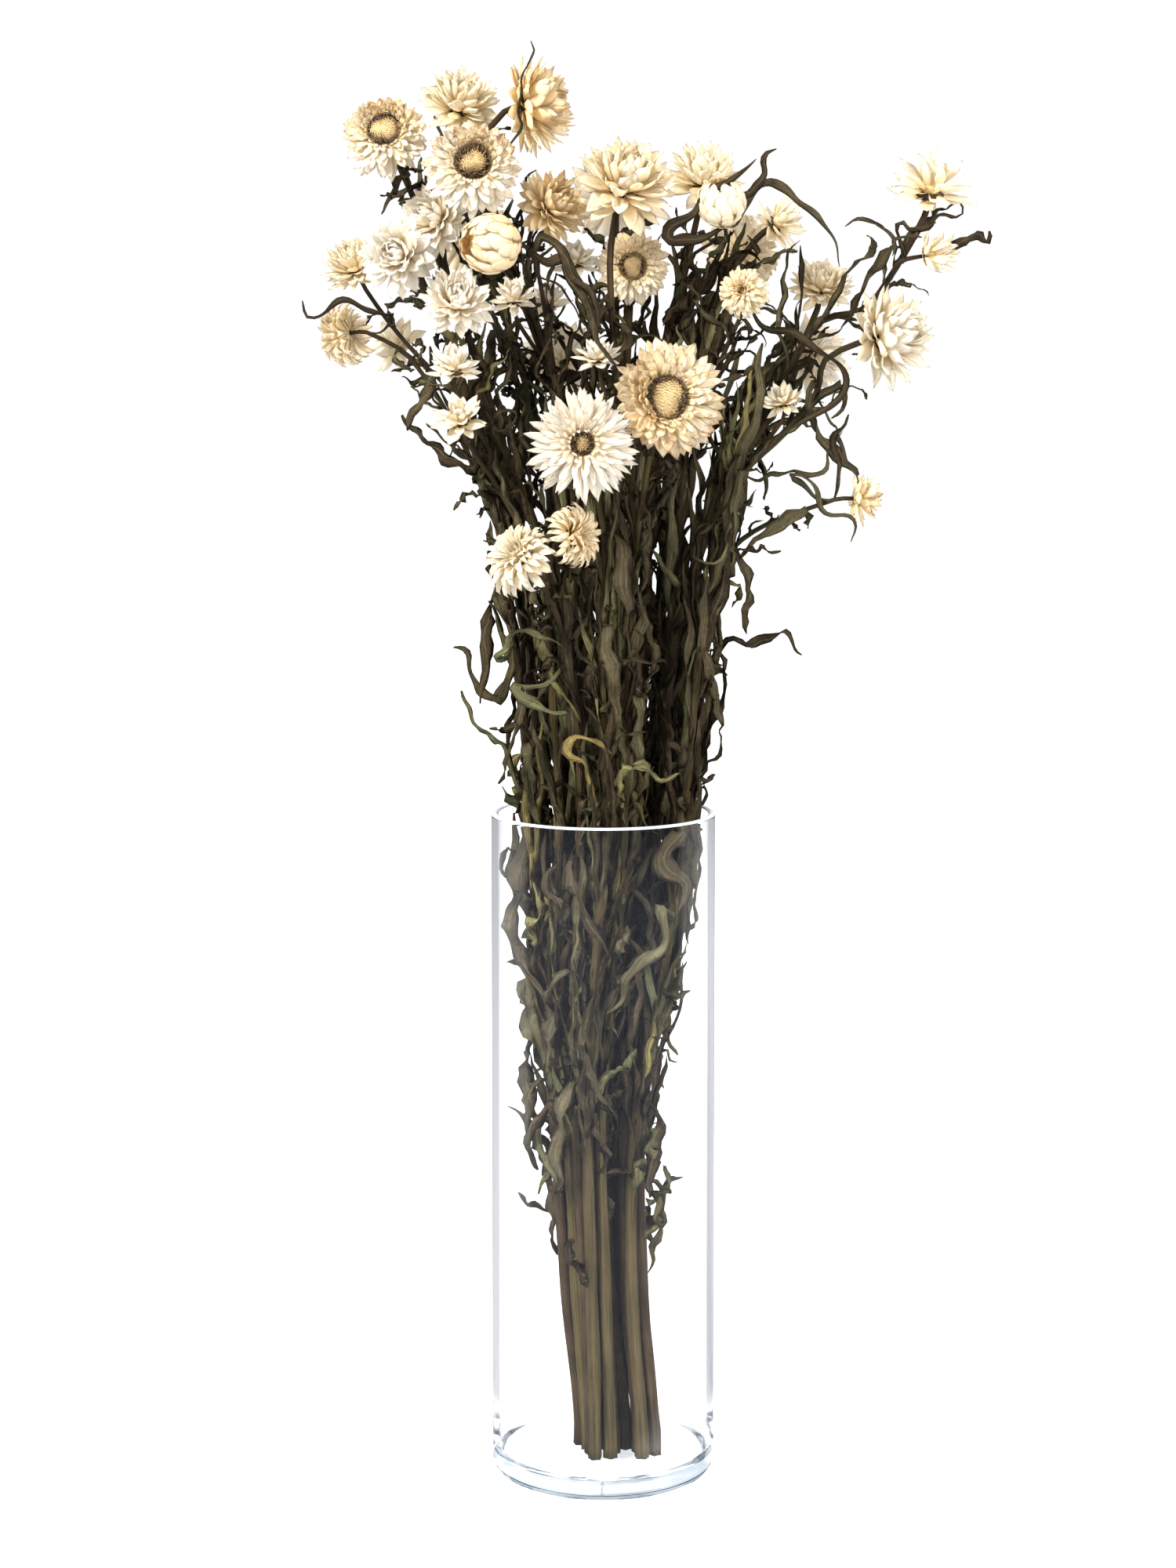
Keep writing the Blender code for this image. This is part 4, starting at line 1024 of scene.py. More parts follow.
def smooth_line(points, spacing):
    """A strand's corners rounded by a curve through its points, at even steps."""
    padded = np.vstack([2 * points[0] - points[1], points, 2 * points[-1] - points[-2]])
    line = []
    for k in range(1, len(padded) - 2):
        p0, p1, p2, p3 = padded[k - 1 : k + 3]
        count = max(2, int(np.linalg.norm(p2 - p1) / spacing))
        chord = np.linalg.norm(p2 - p1)
        m1 = chord * (p2 - p0) / max(np.linalg.norm(p2 - p1) + np.linalg.norm(p1 - p0), 1e-9)
        m2 = chord * (p3 - p1) / max(np.linalg.norm(p3 - p2) + np.linalg.norm(p2 - p1), 1e-9)
        for t in np.arange(count) / count:
            line.append(
                (2 * t**3 - 3 * t**2 + 1) * p1 + (t**3 - 2 * t**2 + t) * m1
                + (-2 * t**3 + 3 * t**2) * p2 + (t**3 - t**2) * m2
            )
    return np.vstack([line, points[-1]])


def frames_along(line):
    """Two directions square to a line at each of its points, carried along without spinning."""
    ways = ways_along(line)
    side = unit(np.cross(ways[0], np.array([0.2, 1.0, 0.1])))
    sides = []
    for way in ways:
        side = unit(side - way * (side @ way))
        sides.append(side)
    sides = np.array(sides)
    return sides, np.cross(ways, sides)


def add_stalk(skin, line, radii, sides, ridges, draw, tone):
    """A ridged stalk with closed ends. The ridges wander slowly round it."""
    one, two = frames_along(line)
    angles = np.linspace(0, 2 * math.pi, sides, endpoint=False)
    run = run_along(line)
    phase = draw.uniform(0, 6)
    turn = phase + 3.0 * run[:, None] / 0.3
    swell = 1 + 0.15 * np.cos(ridges * (angles + turn)) + 0.05 * np.sin(run[:, None] / 0.011 + phase)
    reach = radii[:, None] * swell
    rings = (
        line[:, None]
        + (reach * np.cos(angles))[..., None] * one[:, None]
        + (reach * np.sin(angles))[..., None] * two[:, None]
    )
    rows = len(line)
    faces = []
    for i in range(rows - 1):
        for j in range(sides):
            k = (j + 1) % sides
            faces.append((i * sides + j, i * sides + k, (i + 1) * sides + k, (i + 1) * sides + j))
    low, high = rows * sides, rows * sides + 1
    for j in range(sides):
        k = (j + 1) % sides
        faces.append((low, k, j))
        faces.append((high, (rows - 1) * sides + j, (rows - 1) * sides + k))
    points = np.vstack([rings.reshape(-1, 3), line[0], line[-1]])
    along = np.concatenate([np.repeat(run / 0.1, sides), [0, run[-1] / 0.1]])
    across = np.concatenate([np.tile(angles / math.pi - 1, rows), [0, 0]])
    skin.add(points, faces, 0, along=along, across=across, tone=tone)


def leaf_half(s, ragged, phase):
    """Half width along a dried leaf, from a narrow foot to a pointed tip, with an uneven edge."""
    smooth = np.sin(math.pi * np.minimum(1.0, s * 0.93 + 0.05)) ** 0.6
    return np.maximum(0.06, smooth * (1 + ragged * np.sin(19 * s + phase) * np.sin(7 * s + 2 * phase)))


def crinkled(line, across, amount, draw):
    """Shakes a leaf's rib and turns it to and fro, more with the distance from its foot."""
    s = np.linspace(0, 1, len(line))[:, None]
    normal = np.cross(ways_along(line), across)
    length = np.linalg.norm(np.diff(line, axis=0), axis=1).sum()
    grown = np.minimum(1.0, 2.5 * s)
    for waves, share in ((draw.uniform(1.4, 2.6), 0.030), (draw.uniform(3.5, 5.5), 0.011)):
        for way in (normal, across):
            swing = np.sin(2 * math.pi * waves * s + draw.uniform(0, 6))
            line = line + length * share * amount * draw.uniform(0.5, 1.2) * grown * swing * way
    roll = amount * draw.uniform(0.5, 1.3) * grown
    roll = roll * np.sin(2 * math.pi * draw.uniform(0.8, 2.0) * s + draw.uniform(0, 6))
    return line, np.cos(roll) * across + np.sin(roll) * normal


GLASS_GAP = 0.5 * MM      # between a leaf's edge and the inside of the vase
RIM_SPREAD = 1.5          # how fast a leaf may lean out over the rim


def kept_off_glass(grid):
    """Moves points that reach the glass towards the vase's axis. Above the rim they may lean out."""
    reach = np.linalg.norm(grid[..., :2], axis=-1, keepdims=True)
    over_rim = np.maximum(grid[..., 2:] - VASE_HEIGHT - MM, 0)
    limit = VASE_RADIUS - WALL - GLASS_GAP + RIM_SPREAD * over_rim
    pull = np.minimum(1, limit / np.maximum(reach, MM))
    return np.concatenate([grid[..., :2] * pull, grid[..., 2:]], axis=-1)


def add_leaf(skin, line, across, width, fold, wave, draw, tone, columns=5):
    """A dried leaf: folded along its midrib by an angle that changes on the way, with a wavy edge."""
    rows = len(line)
    s = np.linspace(0, 1, rows)
    normal = np.cross(ways_along(line), across)
    phase = draw.uniform(0, 6)
    half = leaf_half(s, 0.22, phase)[:, None] * width / 2
    t = np.linspace(-1, 1, columns)
    beat = draw.uniform(13, 26)
    bent = (fold * (0.75 + 0.45 * np.sin(4 * s + phase)))[:, None] * (0.8 + 0.2 * np.abs(t))
    ripple = wave * np.sin(beat * s[:, None] + phase + 1.6 * t) * t**2
    grid = (
        line[:, None]
        + (half * t * np.cos(bent))[..., None] * across[:, None]
        + (half * (np.abs(t) * np.sin(bent) + ripple))[..., None] * normal[:, None]
    )
    add_blade(skin, kept_off_glass(grid), LEAF_SHEET, 1, tone=tone, age=draw.random())


def curled_rib(root, way, up, length, bend, early, sway, twist, count):
    """Points and side directions along a dried leaf that bends, sways and twists as it goes.

    Early is how strongly the bend gathers near the foot, or, below 0, near the tip.
    """
    way = unit(way)
    up = unit(up - way * (up @ way))
    side = np.cross(way, up)
    points = [root]
    sides = [side]
    step = length / (count - 1)
    for k in range(count - 1):
        s = (k + 0.5) / (count - 1)
        gather = (early + 1) * (1 - s) ** early if early >= 0 else (1 - early) * s ** -early
        pitch = bend * gather / (count - 1)
        yaw = sway * math.cos(4.5 * s) / (count - 1)
        roll = twist / (count - 1)
        way, up = unit(way * math.cos(pitch) + up * math.sin(pitch)), up
        up = unit(up - way * (up @ way))
        side = np.cross(way, up)
        way = unit(way * math.cos(yaw) + side * math.sin(yaw))
        up = unit(up - way * (up @ way))
        side = np.cross(way, up)
        up, side = math.cos(roll) * up + math.sin(roll) * side, math.cos(roll) * side - math.sin(roll) * up
        points.append(points[-1] + way * step)
        sides.append(side)
    return np.array(points), np.array(sides)


def hangs_before(line, head):
    """Whether a leaf hangs between the eye and a head that stands free in the photograph."""
    if head.centre[1] > FREE_DEPTH and head.centre[2] < FREE_HEIGHT:
        return False
    sight = head.centre - EYE
    far = np.linalg.norm(sight)
    way = line - EYE
    along = way @ (sight / far)
    aside = np.linalg.norm(way - along[:, None] * (sight / far), axis=1)
    return np.count_nonzero((along < far) & (aside < FREE_SHARE * head.radius)) > 1


class Neighbours:
    """What a new leaf has to keep clear of."""

    def __init__(self, strands, heads, leaves):
        self.strands = strands
        self.heads = heads
        self.spots = [leaf.rib(9)[0] for leaf in leaves]

    def clear(self, strand, line, width):
        """Whether a leaf of a strand has room. If so, later leaves keep clear of it too."""
        if line[:, 2].max() > strand.head.centre[2] + ABOVE_HEAD:
            return False
        loose = line[0, 2] > LOOSE_ABOVE and line[0, 0] > LOOSE_RIGHT_OF
        if np.abs(line[:, 0] - line[0, 0]).max() > REACH_ASIDE * (LOOSE_REACH if loose else 1.0):
            return False
        low_corner, high_corner = np.array(CAD_BOX)
        if np.any(line < low_corner - OVER_BOX) or np.any(line > high_corner + OVER_BOX):
            return False
        reach = np.linalg.norm(line[:, :2], axis=1) + 0.35 * width
        low = line[:, 2] < VASE_HEIGHT + 3 * MM
        if np.any(low & (reach > VASE_RADIUS - WALL - 0.8 * MM)) or line[:, 2].min() < LOWEST_SMALL_LEAF:
            return False
        if any(inside_head(line[2:], head, 0.2 * MM) for head in self.heads.values()):
            return False
        if any(hangs_before(line, head) for head in self.heads.values()):
            return False
        pressed = 0
        for other in self.strands:
            if other.plant != strand.plant:
                distance, _ = nearest(line[1:], other.points[:-1], other.points[1:])
                pressed += np.count_nonzero((distance < other.radii[:-1]).any(axis=1))
        if pressed > PRESSED_IN:
            return False
        spots = np.vstack(self.spots)
        near = spots[np.abs(spots[:, 2] - line[:, 2].mean()) < LEAF_NEAR]
        if len(near) and np.sqrt(((line[2:, None] - near[None]) ** 2).sum(2)).min() < LEAVES_APART:
            return False
        self.spots.append(line)
        return True


# Leaves and curled shreds that stand out: width in mm, tone, crinkle, and points of the midrib in
# mm from foot to tip. Each grows from the nearest stem.
STANDOUT = (
    (3.9, 0.16, 1.2, (
        (73, -20, 513), (85, -24, 512), (95, -26, 508), (101, -26, 492),
        (97, -24, 479), (83, -20, 470), (65, -16, 468),
    )),
    (3.4, 0.20, 0.8, ((104, -8, 456), (100, -10, 466), (106, -12, 473), (108, -12, 477))),
    (3.0, 0.12, 0.9, (
        (-91, -10, 521), (-103, -14, 522), (-113, -16, 526),
        (-124, -16, 522), (-129, -14, 521), (-131, -14, 527),
    )),
    (2.2, 0.10, 1.0, (
        (-35, -22, 601), (-37, -24, 609), (-36, -24, 621),
        (-32, -22, 629), (-29, -20, 635), (-31, -20, 639),
    )),
    (3.4, 0.06, 1.2, ((130, -8, 560), (140, -16, 559), (149, -18, 563), (155, -18, 565), (154, -16, 568))),
    (6.0, 0.04, 1.2, ((157, -12, 554), (163, -14, 555), (167, -14, 552), (167, -14, 557))),
    (5.6, 0.74, 1.4, ((-47, -44, 375), (-39, -48, 383), (-27, -48, 383), (-16, -46, 379))),
    (6.6, 0.73, 1.2, ((-39, -44, 362), (-32, -48, 356), (-23, -48, 350), (-15, -46, 348))),
    (4.4, 0.96, 1.6, ((-10, -46, 328), (-14, -49, 333), (-12, -50, 339), (-5, -50, 338), (4, -48, 334))),
    (5.0, 0.82, 2.0, ((5, -46, 319), (12, -49, 324), (22, -49, 323), (33, -46, 324))),
    (7.6, 0.60, 1.2, ((26, -30, 261), (23, -37, 247), (12, -38, 231), (1, -35, 216))),
    (9.0, 0.34, 1.6, ((32, -30, 296), (28, -34, 286), (34, -34, 272), (28, -32, 257))),
    (8.0, 0.30, 1.6, ((39, -24, 288), (43, -26, 278), (41, -26, 264), (35, -26, 250))),
    (9.5, 0.34, 1.4, ((-35, -14, 272), (-41, -16, 259), (-37, -18, 241), (-28, -18, 217))),
    (7.0, 0.10, 1.4, ((-34, -10, 279), (-42, -12, 286), (-43, -12, 272))),
    (6.5, 0.55, 0.8, ((61, -14, 453), (58, -18, 436), (54, -18, 419), (47, -18, 398))),
    (4.0, 0.40, 0.9, ((62, -10, 568), (73, -16, 578), (88, -18, 569), (98, -18, 555), (104, -16, 542))),
    (6.0, 0.24, 0.9, ((29, -22, 555), (41, -26, 568), (52, -26, 576), (65, -24, 589))),
    (4.6, 0.12, 0.9, ((50, -18, 568), (61, -22, 572), (68, -22, 579), (71, -20, 590), (75, -20, 592))),
    (2.4, 0.55, 1.3, ((74, -6, 452), (84, -8, 450), (94, -8, 452), (101, -8, 461), (104, -8, 470))),
    (2.4, 0.40, 1.3, ((104, -8, 469), (107, -8, 456), (110, -8, 447), (111, -8, 439))),
    (2.8, 0.60, 1.3, ((83, -8, 450), (92, -10, 445), (100, -10, 435), (108, -10, 429), (109, -10, 421))),
    (6.5, 0.16, 1.1, ((-58, -20, 453), (-72, -22, 463), (-82, -22, 468), (-88, -20, 477))),
    (5.5, 0.45, 1.0, ((-45, -24, 350), (-54, -26, 361), (-60, -26, 372), (-66, -26, 375))),
    (5.0, 0.70, 1.2, ((-45, -24, 333), (-53, -26, 340), (-58, -26, 350), (-62, -26, 357))),
    (6.0, 0.40, 1.0, ((-71, -30, 498), (-80, -34, 481), (-85, -34, 471))),
    (5.5, 0.14, 0.8, ((-27, -40, 555), (-17, -44, 545), (-7, -46, 531), (0, -46, 515))),
    (6.0, 0.30, 0.8, ((-17, -38, 545), (-9, -42, 528), (-3, -44, 511), (7, -42, 498))),
    (7.0, 0.12, 1.3, ((-24, -18, 171), (-30, -20, 164), (-33, -20, 152), (-28, -18, 143))),
    (6.5, 0.22, 1.2, ((1, -18, 174), (-7, -22, 176), (-14, -22, 174), (-17, -20, 168))),
)


def standout_leaves(strands):
    """Each leaf that stands out with the stem it grows from and its whole midrib."""
    found = []
    for width, tone, crinkle, points in STANDOUT:
        points = np.array(points) * MM
        near = [np.linalg.norm(s.points - points[0], axis=1) for s in strands]
        at = min(range(len(strands)), key=lambda k: near[k].min())
        root = strands[at].points[near[at].argmin()]
        if near[at].min() > 3 * MM:
            points = np.vstack([0.5 * (root + points[0]) + np.array([0, 0, -4 * MM]), points])
        line = smooth_line(np.vstack([root, points]), 2 * MM)
        run = run_along(line)
        even = np.linspace(0, run[-1], max(18, int(run[-1] / (2 * MM))))
        line = np.column_stack([np.interp(even, run, line[:, k]) for k in range(3)])
        found.append((strands[at], line, width * MM, tone, crinkle))
    return found


def add_standout_leaf(skin, line, width, tone, crinkle, draw):
    """A leaf along a given midrib, turned with its flat side to the front."""
    ways = np.gradient(line, axis=0)
    across = np.cross(ways, np.array([0.0, -1.0, 0.15]))
    across /= np.maximum(np.linalg.norm(across, axis=1, keepdims=True), 1e-12)
    line, across = crinkled(line, across, 0.8 * crinkle, draw)
    add_leaf(skin, line, across, width, draw.uniform(0.5, 1.1), 0.45 * crinkle, draw, tone)


def leaf_tone(draw, height):
    """From dark brown, through olive, to grey green and a few pale or tan ones."""
    pick = draw.random()
    if pick < 0.42:
        return draw.uniform(0.0, 0.28)
    if pick < 0.86:
        return draw.uniform(0.30, 0.68)
    return draw.uniform(0.72, 0.90 if height > 120 * MM else 0.76)


# Kinds of small leaf: length and width in mm, bend in radians, how early the bend comes, lean from
# the stem, fold in radians, sway, twist, crinkle, and columns of points across.
RIBBON = ((30, 70), (2.4, 4.4), (-0.8, 3.2), -0.6, (0.08, 0.55), (0.3, 1.2), 2.4, 4.5, 1.0, 3)
HANGING = ((32, 62), (5.0, 9.0), (2.4, 3.1), 5.0, (0.2, 0.7), (0.4, 1.3), 0.9, 2.6, 0.8, 5)
CLASPING = ((45, 90), (3.4, 7.6), (-0.4, 0.5), 0.0, (0.02, 0.14), (0.6, 1.45), 0.6, 3.4, 0.5, 5)
CRUMPLED = ((10, 26), (3.0, 5.6), (-1.0, 4.4), 0.4, (0.2, 1.0), (0.4, 1.4), 3.2, 4.0, 1.5, 3)


def kind_of_leaf(draw, height):
    """Broad leaves hang or clasp low in the bunch, and narrow curled ones fill it higher up."""
    pick = draw.random()
    if height < 0.26:
        shares = ((0.10, HANGING), (0.70, CLASPING), (0.84, RIBBON))
    elif height < 0.43:
        shares = ((0.13, HANGING), (0.62, CLASPING), (0.84, RIBBON))
    else:
        shares = ((0.05, HANGING), (0.24, CLASPING), (0.74, RIBBON))
    for share, kind in shares:
        if pick < share:
            return kind
    return CRUMPLED


def add_small_leaves(skin, strand, line, radii, around, draw):
    """Dried leaves set close along a stem."""
    run = run_along(line)
    at = FIRST_SMALL_LEAF if strand.main else FIRST_ON_SIDE
    turn = draw.uniform(0, 6)
    while at < run[-1] - BARE_NECK:
        root = spot_at(at, run, line)
        ahead = spot_at(at + 3 * MM, run, line)
        thick = float(np.interp(at, run, radii))
        stem_way = unit(ahead - root)
        first = unit(np.cross(stem_way, np.array([0.3, 0.9, 0.1])))
        other = np.cross(stem_way, first)
        for _ in range(EXTRA_TRIES):
            angle = turn + draw.uniform(-1.8, 1.8)
            out = math.cos(angle) * first + math.sin(angle) * other
            kind = kind_of_leaf(draw, root[2])
            lengths, widths, bends, early, leans, folds, sway, twist, crinkle, columns = kind
            small = 1.0 if strand.main else SMALL_ON_SIDE
            length = draw.uniform(*lengths) * MM * small
            width = draw.uniform(*widths) * MM * small
            spine, across = curled_rib(
                root + out * thick * 0.3, stem_way + draw.uniform(*leans) * out, out, length,
                draw.uniform(*bends), early, draw.uniform(-sway, sway), draw.uniform(-twist, twist),
                10 if kind is CRUMPLED else 21 if kind is RIBBON else 17,
            )
            spine, across = crinkled(spine, across, crinkle, draw)
            if around.clear(strand, spine, width):
                add_leaf(
                    skin, spine, across, width, draw.uniform(*folds), draw.uniform(0.15, 0.6),
                    draw, leaf_tone(draw, root[2]), columns,
                )
                break
        low, high = EXTRA_SPACING
        at += (low + (high - low) * min(1.0, root[2] / 0.6)) * draw.uniform(0.6, 1.3)
        turn += LEAF_TURN


def build_stalks(number, strands, leaves, standout, around, materials):
    """One stem with its side stems and all their leaves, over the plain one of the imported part."""
    draw = random.Random(STALK_SEED + number)
    skin = Skin()
    olive = draw.random() < 0.22
    for strand in strands:
        if strand.plant != number:
            continue
        line = smooth_line(strand.points, 6 * MM)
        run = np.linspace(0, 1, len(line))
        radii = (strand.radii[0] + (strand.radii[-1] - strand.radii[0]) * run) * (1 - 0.16 * run)
        tone = draw.uniform(0.62, 0.85) if olive else draw.uniform(0.1, 0.45)
        sides = 15 if strand.main else 9
        add_stalk(skin, line, radii, sides, 5 if strand.main else 3, draw, tone)
        for leaf in leaves:
            if leaf.strand is strand:
                rib, across = leaf.rib(FINE_RIB)
                nearest_spot = line[np.argmin(np.linalg.norm(line - leaf.root, axis=1))]
                s = np.linspace(0, 1, FINE_RIB)[:, None]
                rib = rib + (nearest_spot - leaf.root) * (1 - s) ** 2
                rib, across = crinkled(rib, across, 1.5, draw)
                if any(hangs_before(rib, head) for head in around.heads.values()):
                    continue
                slim = float(np.interp(leaf.root[2], *SLIMMER))
                add_leaf(
                    skin, rib, across, leaf.width * slim, draw.uniform(0.6, 1.4), draw.uniform(0.3, 0.8),
                    draw, leaf_tone(draw, leaf.root[2]),
                )
        for own, midrib, width, shade, crinkle in standout:
            if own is strand:
                add_standout_leaf(skin, midrib, width, shade, crinkle, draw)
        add_small_leaves(skin, strand, line, radii, around, draw)
    piece = skin.mesh(f"leafy_stalk_{number + 1:02d}", materials)
    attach(piece, "root")
    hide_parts(f"leafy_stem_{number + 1:02d}")


# The vase.

VASE_FINE_SIDES = 128
# Faces this close under the rim's top take the rim's painted highlight finish.
RIM_HIGHLIGHT_EDGE = 0.9 * MM


def arc(cx, cz, radius, start, end, count):
    """Points of radius and height round a centre, with angles in degrees from the outward side."""
    angles = np.radians(np.linspace(start, end, count))
    return [(cx + radius * math.cos(a), cz + radius * math.sin(a)) for a in angles]


def build_vase(glass, rim_highlight_glass):
    """One closed form: up the outside, over the rounded rim, down the inside and across the floor."""
    inner = VASE_RADIUS - WALL
    rim = WALL / 2
    outside = [(0, 0.0)]
    outside += [(r * MM, 0.0) for r in (12, 25, 36, 41, 42.5)]
    outside += arc(VASE_RADIUS - FOOT_ROUNDING, FOOT_ROUNDING, FOOT_ROUNDING, -90, 0, 13)
    outside += [(VASE_RADIUS, h * MM) for h in (7.4, 9, 20, 80, 150, 220, 270, 292, 297.6, 298.3)]
    outside += arc(VASE_RADIUS - rim, VASE_HEIGHT - rim, rim, 0, 180, 11)
    outside += [(inner, h * MM) for h in (298.3, 297.6, 292, 270, 220, 150, 80, 24, 16, 14.4)]
    outside += arc(inner - INNER_ROUNDING, FLOOR + INNER_ROUNDING, INNER_ROUNDING, 0, -90, 10)
    outside += [(r * MM, FLOOR) for r in (41.6, 40, 34, 24, 12)]
    outside += [(0, FLOOR)]
    skin = Skin()
    add_turned(skin, outside, VASE_FINE_SIDES, lambda points: points, 0)
    piece = skin.mesh("cylinder_vase", [glass, rim_highlight_glass])
    corners = piece.data.vertices
    heights = np.array([
        sum(corners[k].co[2] for k in face.vertices) / len(face.vertices) for face in piece.data.polygons
    ])
    # The faces at the top of the rim take the finish with the painted highlight.
    rim_highlight_faces = (heights > VASE_HEIGHT - RIM_HIGHLIGHT_EDGE).astype(int)
    piece.data.polygons.foreach_set("material_index", rim_highlight_faces)
    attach(piece, "root")
    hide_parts("vase")


# Finishes.


def group(name, inputs, outputs):
    made = bpy.data.node_groups.new(name, "ShaderNodeTree")
    for label, kind in inputs:
        made.interface.new_socket(label, in_out="INPUT", socket_type=kind)
    for label, kind in outputs:
        made.interface.new_socket(label, in_out="OUTPUT", socket_type=kind)
    return made, made.nodes.new("NodeGroupInput"), made.nodes.new("NodeGroupOutput")


def node(tree, kind, values=(), **settings):
    made = tree.nodes.new(kind)
    for key, value in settings.items():
        setattr(made, key, value)
    for key, value in dict(values).items():
        if isinstance(value, bpy.types.NodeSocket):
            tree.links.new(value, made.inputs[key])
        else:
            made.inputs[key].default_value = value
    return made


def calc(tree, operation, a, b=0.0, clamp=False):
    return node(tree, "ShaderNodeMath", {0: a, 1: b}, operation=operation, use_clamp=clamp).outputs[0]


def times(tree, a, b, clamp=False):
    return calc(tree, "MULTIPLY", a, b, clamp)


def blend_colours(tree, share, a, b):
    return node(tree, "ShaderNodeMix", {0: share, 6: a, 7: b}, data_type="RGBA").outputs[2]


def tinted(tree, body, share, colour):
    return blend_colours(tree, share, body, (*colour, 1))


def relief_on(tree, shader, height, distance, strength):
    bump = node(tree, "ShaderNodeBump", {"Height": height, "Distance": distance, "Strength": strength})
    tree.links.new(bump.outputs[0], shader.inputs["Normal"])


def ramp(tree, share, stops):
    made = tree.nodes.new("ShaderNodeValToRGB")
    tree.links.new(share, made.inputs[0])
    elements = made.color_ramp.elements
    while len(elements) < len(stops):
        elements.new(0.5)
    for element, (place, colour) in zip(elements, stops):
        element.position = place
        element.color = (*colour, 1.0)
    return made.outputs[0]


def span(tree, value, low, high, to_low=0.0, to_high=1.0):
    made = node(
        tree, "ShaderNodeMapRange",
        {0: value, 1: low, 2: high, 3: to_low, 4: to_high}, interpolation_type="SMOOTHSTEP",
    )
    return made.outputs[0]


def mark(tree, name):
    made = tree.nodes.new("ShaderNodeAttribute")
    made.attribute_name = name
    return made.outputs["Fac"]


FLOAT = "NodeSocketFloat"


def make_fibres():
    """Fine lengthwise streaks on anything that grew lengthwise: bracts, leaves and stalks."""
    made, given, out = group(
        "lengthwise_fibres",
        [("Along", FLOAT), ("Across", FLOAT), ("Seed", FLOAT), ("Fineness", FLOAT), ("Stretch", FLOAT)],
        [("Streaks", FLOAT), ("Relief", FLOAT)],
    )
    across = times(made, given.outputs["Across"], given.outputs["Fineness"])
    along = times(made, given.outputs["Along"], given.outputs["Stretch"])
    seed = times(made, given.outputs["Seed"], 37.0)
    where = node(made, "ShaderNodeCombineXYZ", {0: across, 1: along, 2: seed}).outputs[0]
    coarse = node(made, "ShaderNodeTexNoise", {"Vector": where, "Scale": 1.0, "Detail": 3.0})
    fine = node(made, "ShaderNodeTexNoise", {"Vector": where, "Scale": 2.7, "Detail": 2.0})
    both = calc(made, "ADD", times(made, coarse.outputs[0], 0.6), times(made, fine.outputs[0], 0.4))
    made.links.new(span(made, both, 0.38, 0.62), out.inputs["Streaks"])
    made.links.new(both, out.inputs["Relief"])
    return made


def make_mottle():
    """Patchy fading and dirt in object space."""
    made, given, out = group(
        "mottled_fading", [("Size", FLOAT)], [("Patches", FLOAT), ("Specks", FLOAT)]
    )
    where = made.nodes.new("ShaderNodeTexCoord").outputs["Object"]
    size = given.outputs["Size"]
    patches = node(made, "ShaderNodeTexNoise", {"Vector": where, "Scale": size, "Detail": 4.0})
    finer = times(made, size, 9.0)
    specks = node(made, "ShaderNodeTexNoise", {"Vector": where, "Scale": finer, "Detail": 2.0})
    made.links.new(span(made, patches.outputs[0], 0.34, 0.68), out.inputs["Patches"])
    made.links.new(span(made, specks.outputs[0], 0.56, 0.70), out.inputs["Specks"])
    return made


def material(name):
    made = bpy.data.materials.new(name)
    made.use_nodes = True
    tree = made.node_tree
    return made, tree, tree.nodes["Principled BSDF"], tree.nodes["Material Output"]


def placed(tree, shared, **values):
    """A shared effect with its own values. Gives its outputs."""
    return node(tree, "ShaderNodeGroup", values, node_tree=shared).outputs


def through_light(tree, shader, out, colour, share):
    """Lets some of the light through a thin dry sheet."""
    thin = node(tree, "ShaderNodeBsdfTranslucent", {"Color": colour})
    both = node(tree, "ShaderNodeMixShader", {0: share, 1: shader.outputs[0], 2: thin.outputs[0]})
    tree.links.new(both.outputs[0], out.inputs["Surface"])


def papery_petal(fibres, mottle):
    made, tree, shader, out = material("papery_bract")
    along, across, tone, age = (mark(tree, name) for name in ("along", "across", "tone", "age"))
    grain = placed(tree, fibres, Along=along, Across=across, Seed=tone, Fineness=5.0, Stretch=1.6)
    fading = placed(tree, mottle, Size=70.0)
    body = ramp(tree, tone, (
        (0.0, (0.93, 0.91, 0.86)), (0.35, (0.93, 0.87, 0.72)), (0.7, (0.92, 0.80, 0.55)),
        (1.0, (0.87, 0.66, 0.35)),
    ))
    heart = times(tree, span(tree, along, 0.66, 0.0), calc(tree, "ADD", 0.50, times(tree, tone, 0.4)))
    body = tinted(tree, body, heart, (0.93, 0.72, 0.29))
    body = tinted(tree, body, times(tree, grain["Streaks"], 0.28), (0.86, 0.70, 0.46))
    body = tinted(tree, body, times(tree, fading["Patches"], 0.14), (0.96, 0.93, 0.88))
    border = span(tree, calc(tree, "ABSOLUTE", across), 0.82, 1.05)
    edge = calc(tree, "MAXIMUM", span(tree, along, 0.64, 1.0), border)
    browned = times(tree, times(tree, edge, age), span(tree, grain["Relief"], 0.28, 0.55), True)
    body = tinted(tree, body, browned, (0.46, 0.27, 0.090))
    specks = times(tree, times(tree, fading["Specks"], age), 0.6, True)
    body = tinted(tree, body, specks, (0.42, 0.27, 0.13))
    tree.links.new(body, shader.inputs["Base Color"])
    tree.links.new(span(tree, grain["Relief"], 0.2, 0.8, 0.42, 0.66), shader.inputs["Roughness"])
    relief_on(tree, shader, grain["Relief"], 0.0004, 0.8)
    # Painted light: the bracts glow faintly in their own colour, which lifts them where they lie in shade.
    tree.links.new(body, shader.inputs["Emission Color"])
    shader.inputs["Emission Strength"].default_value = 0.06
    through_light(tree, shader, out, body, 0.45)
    return made


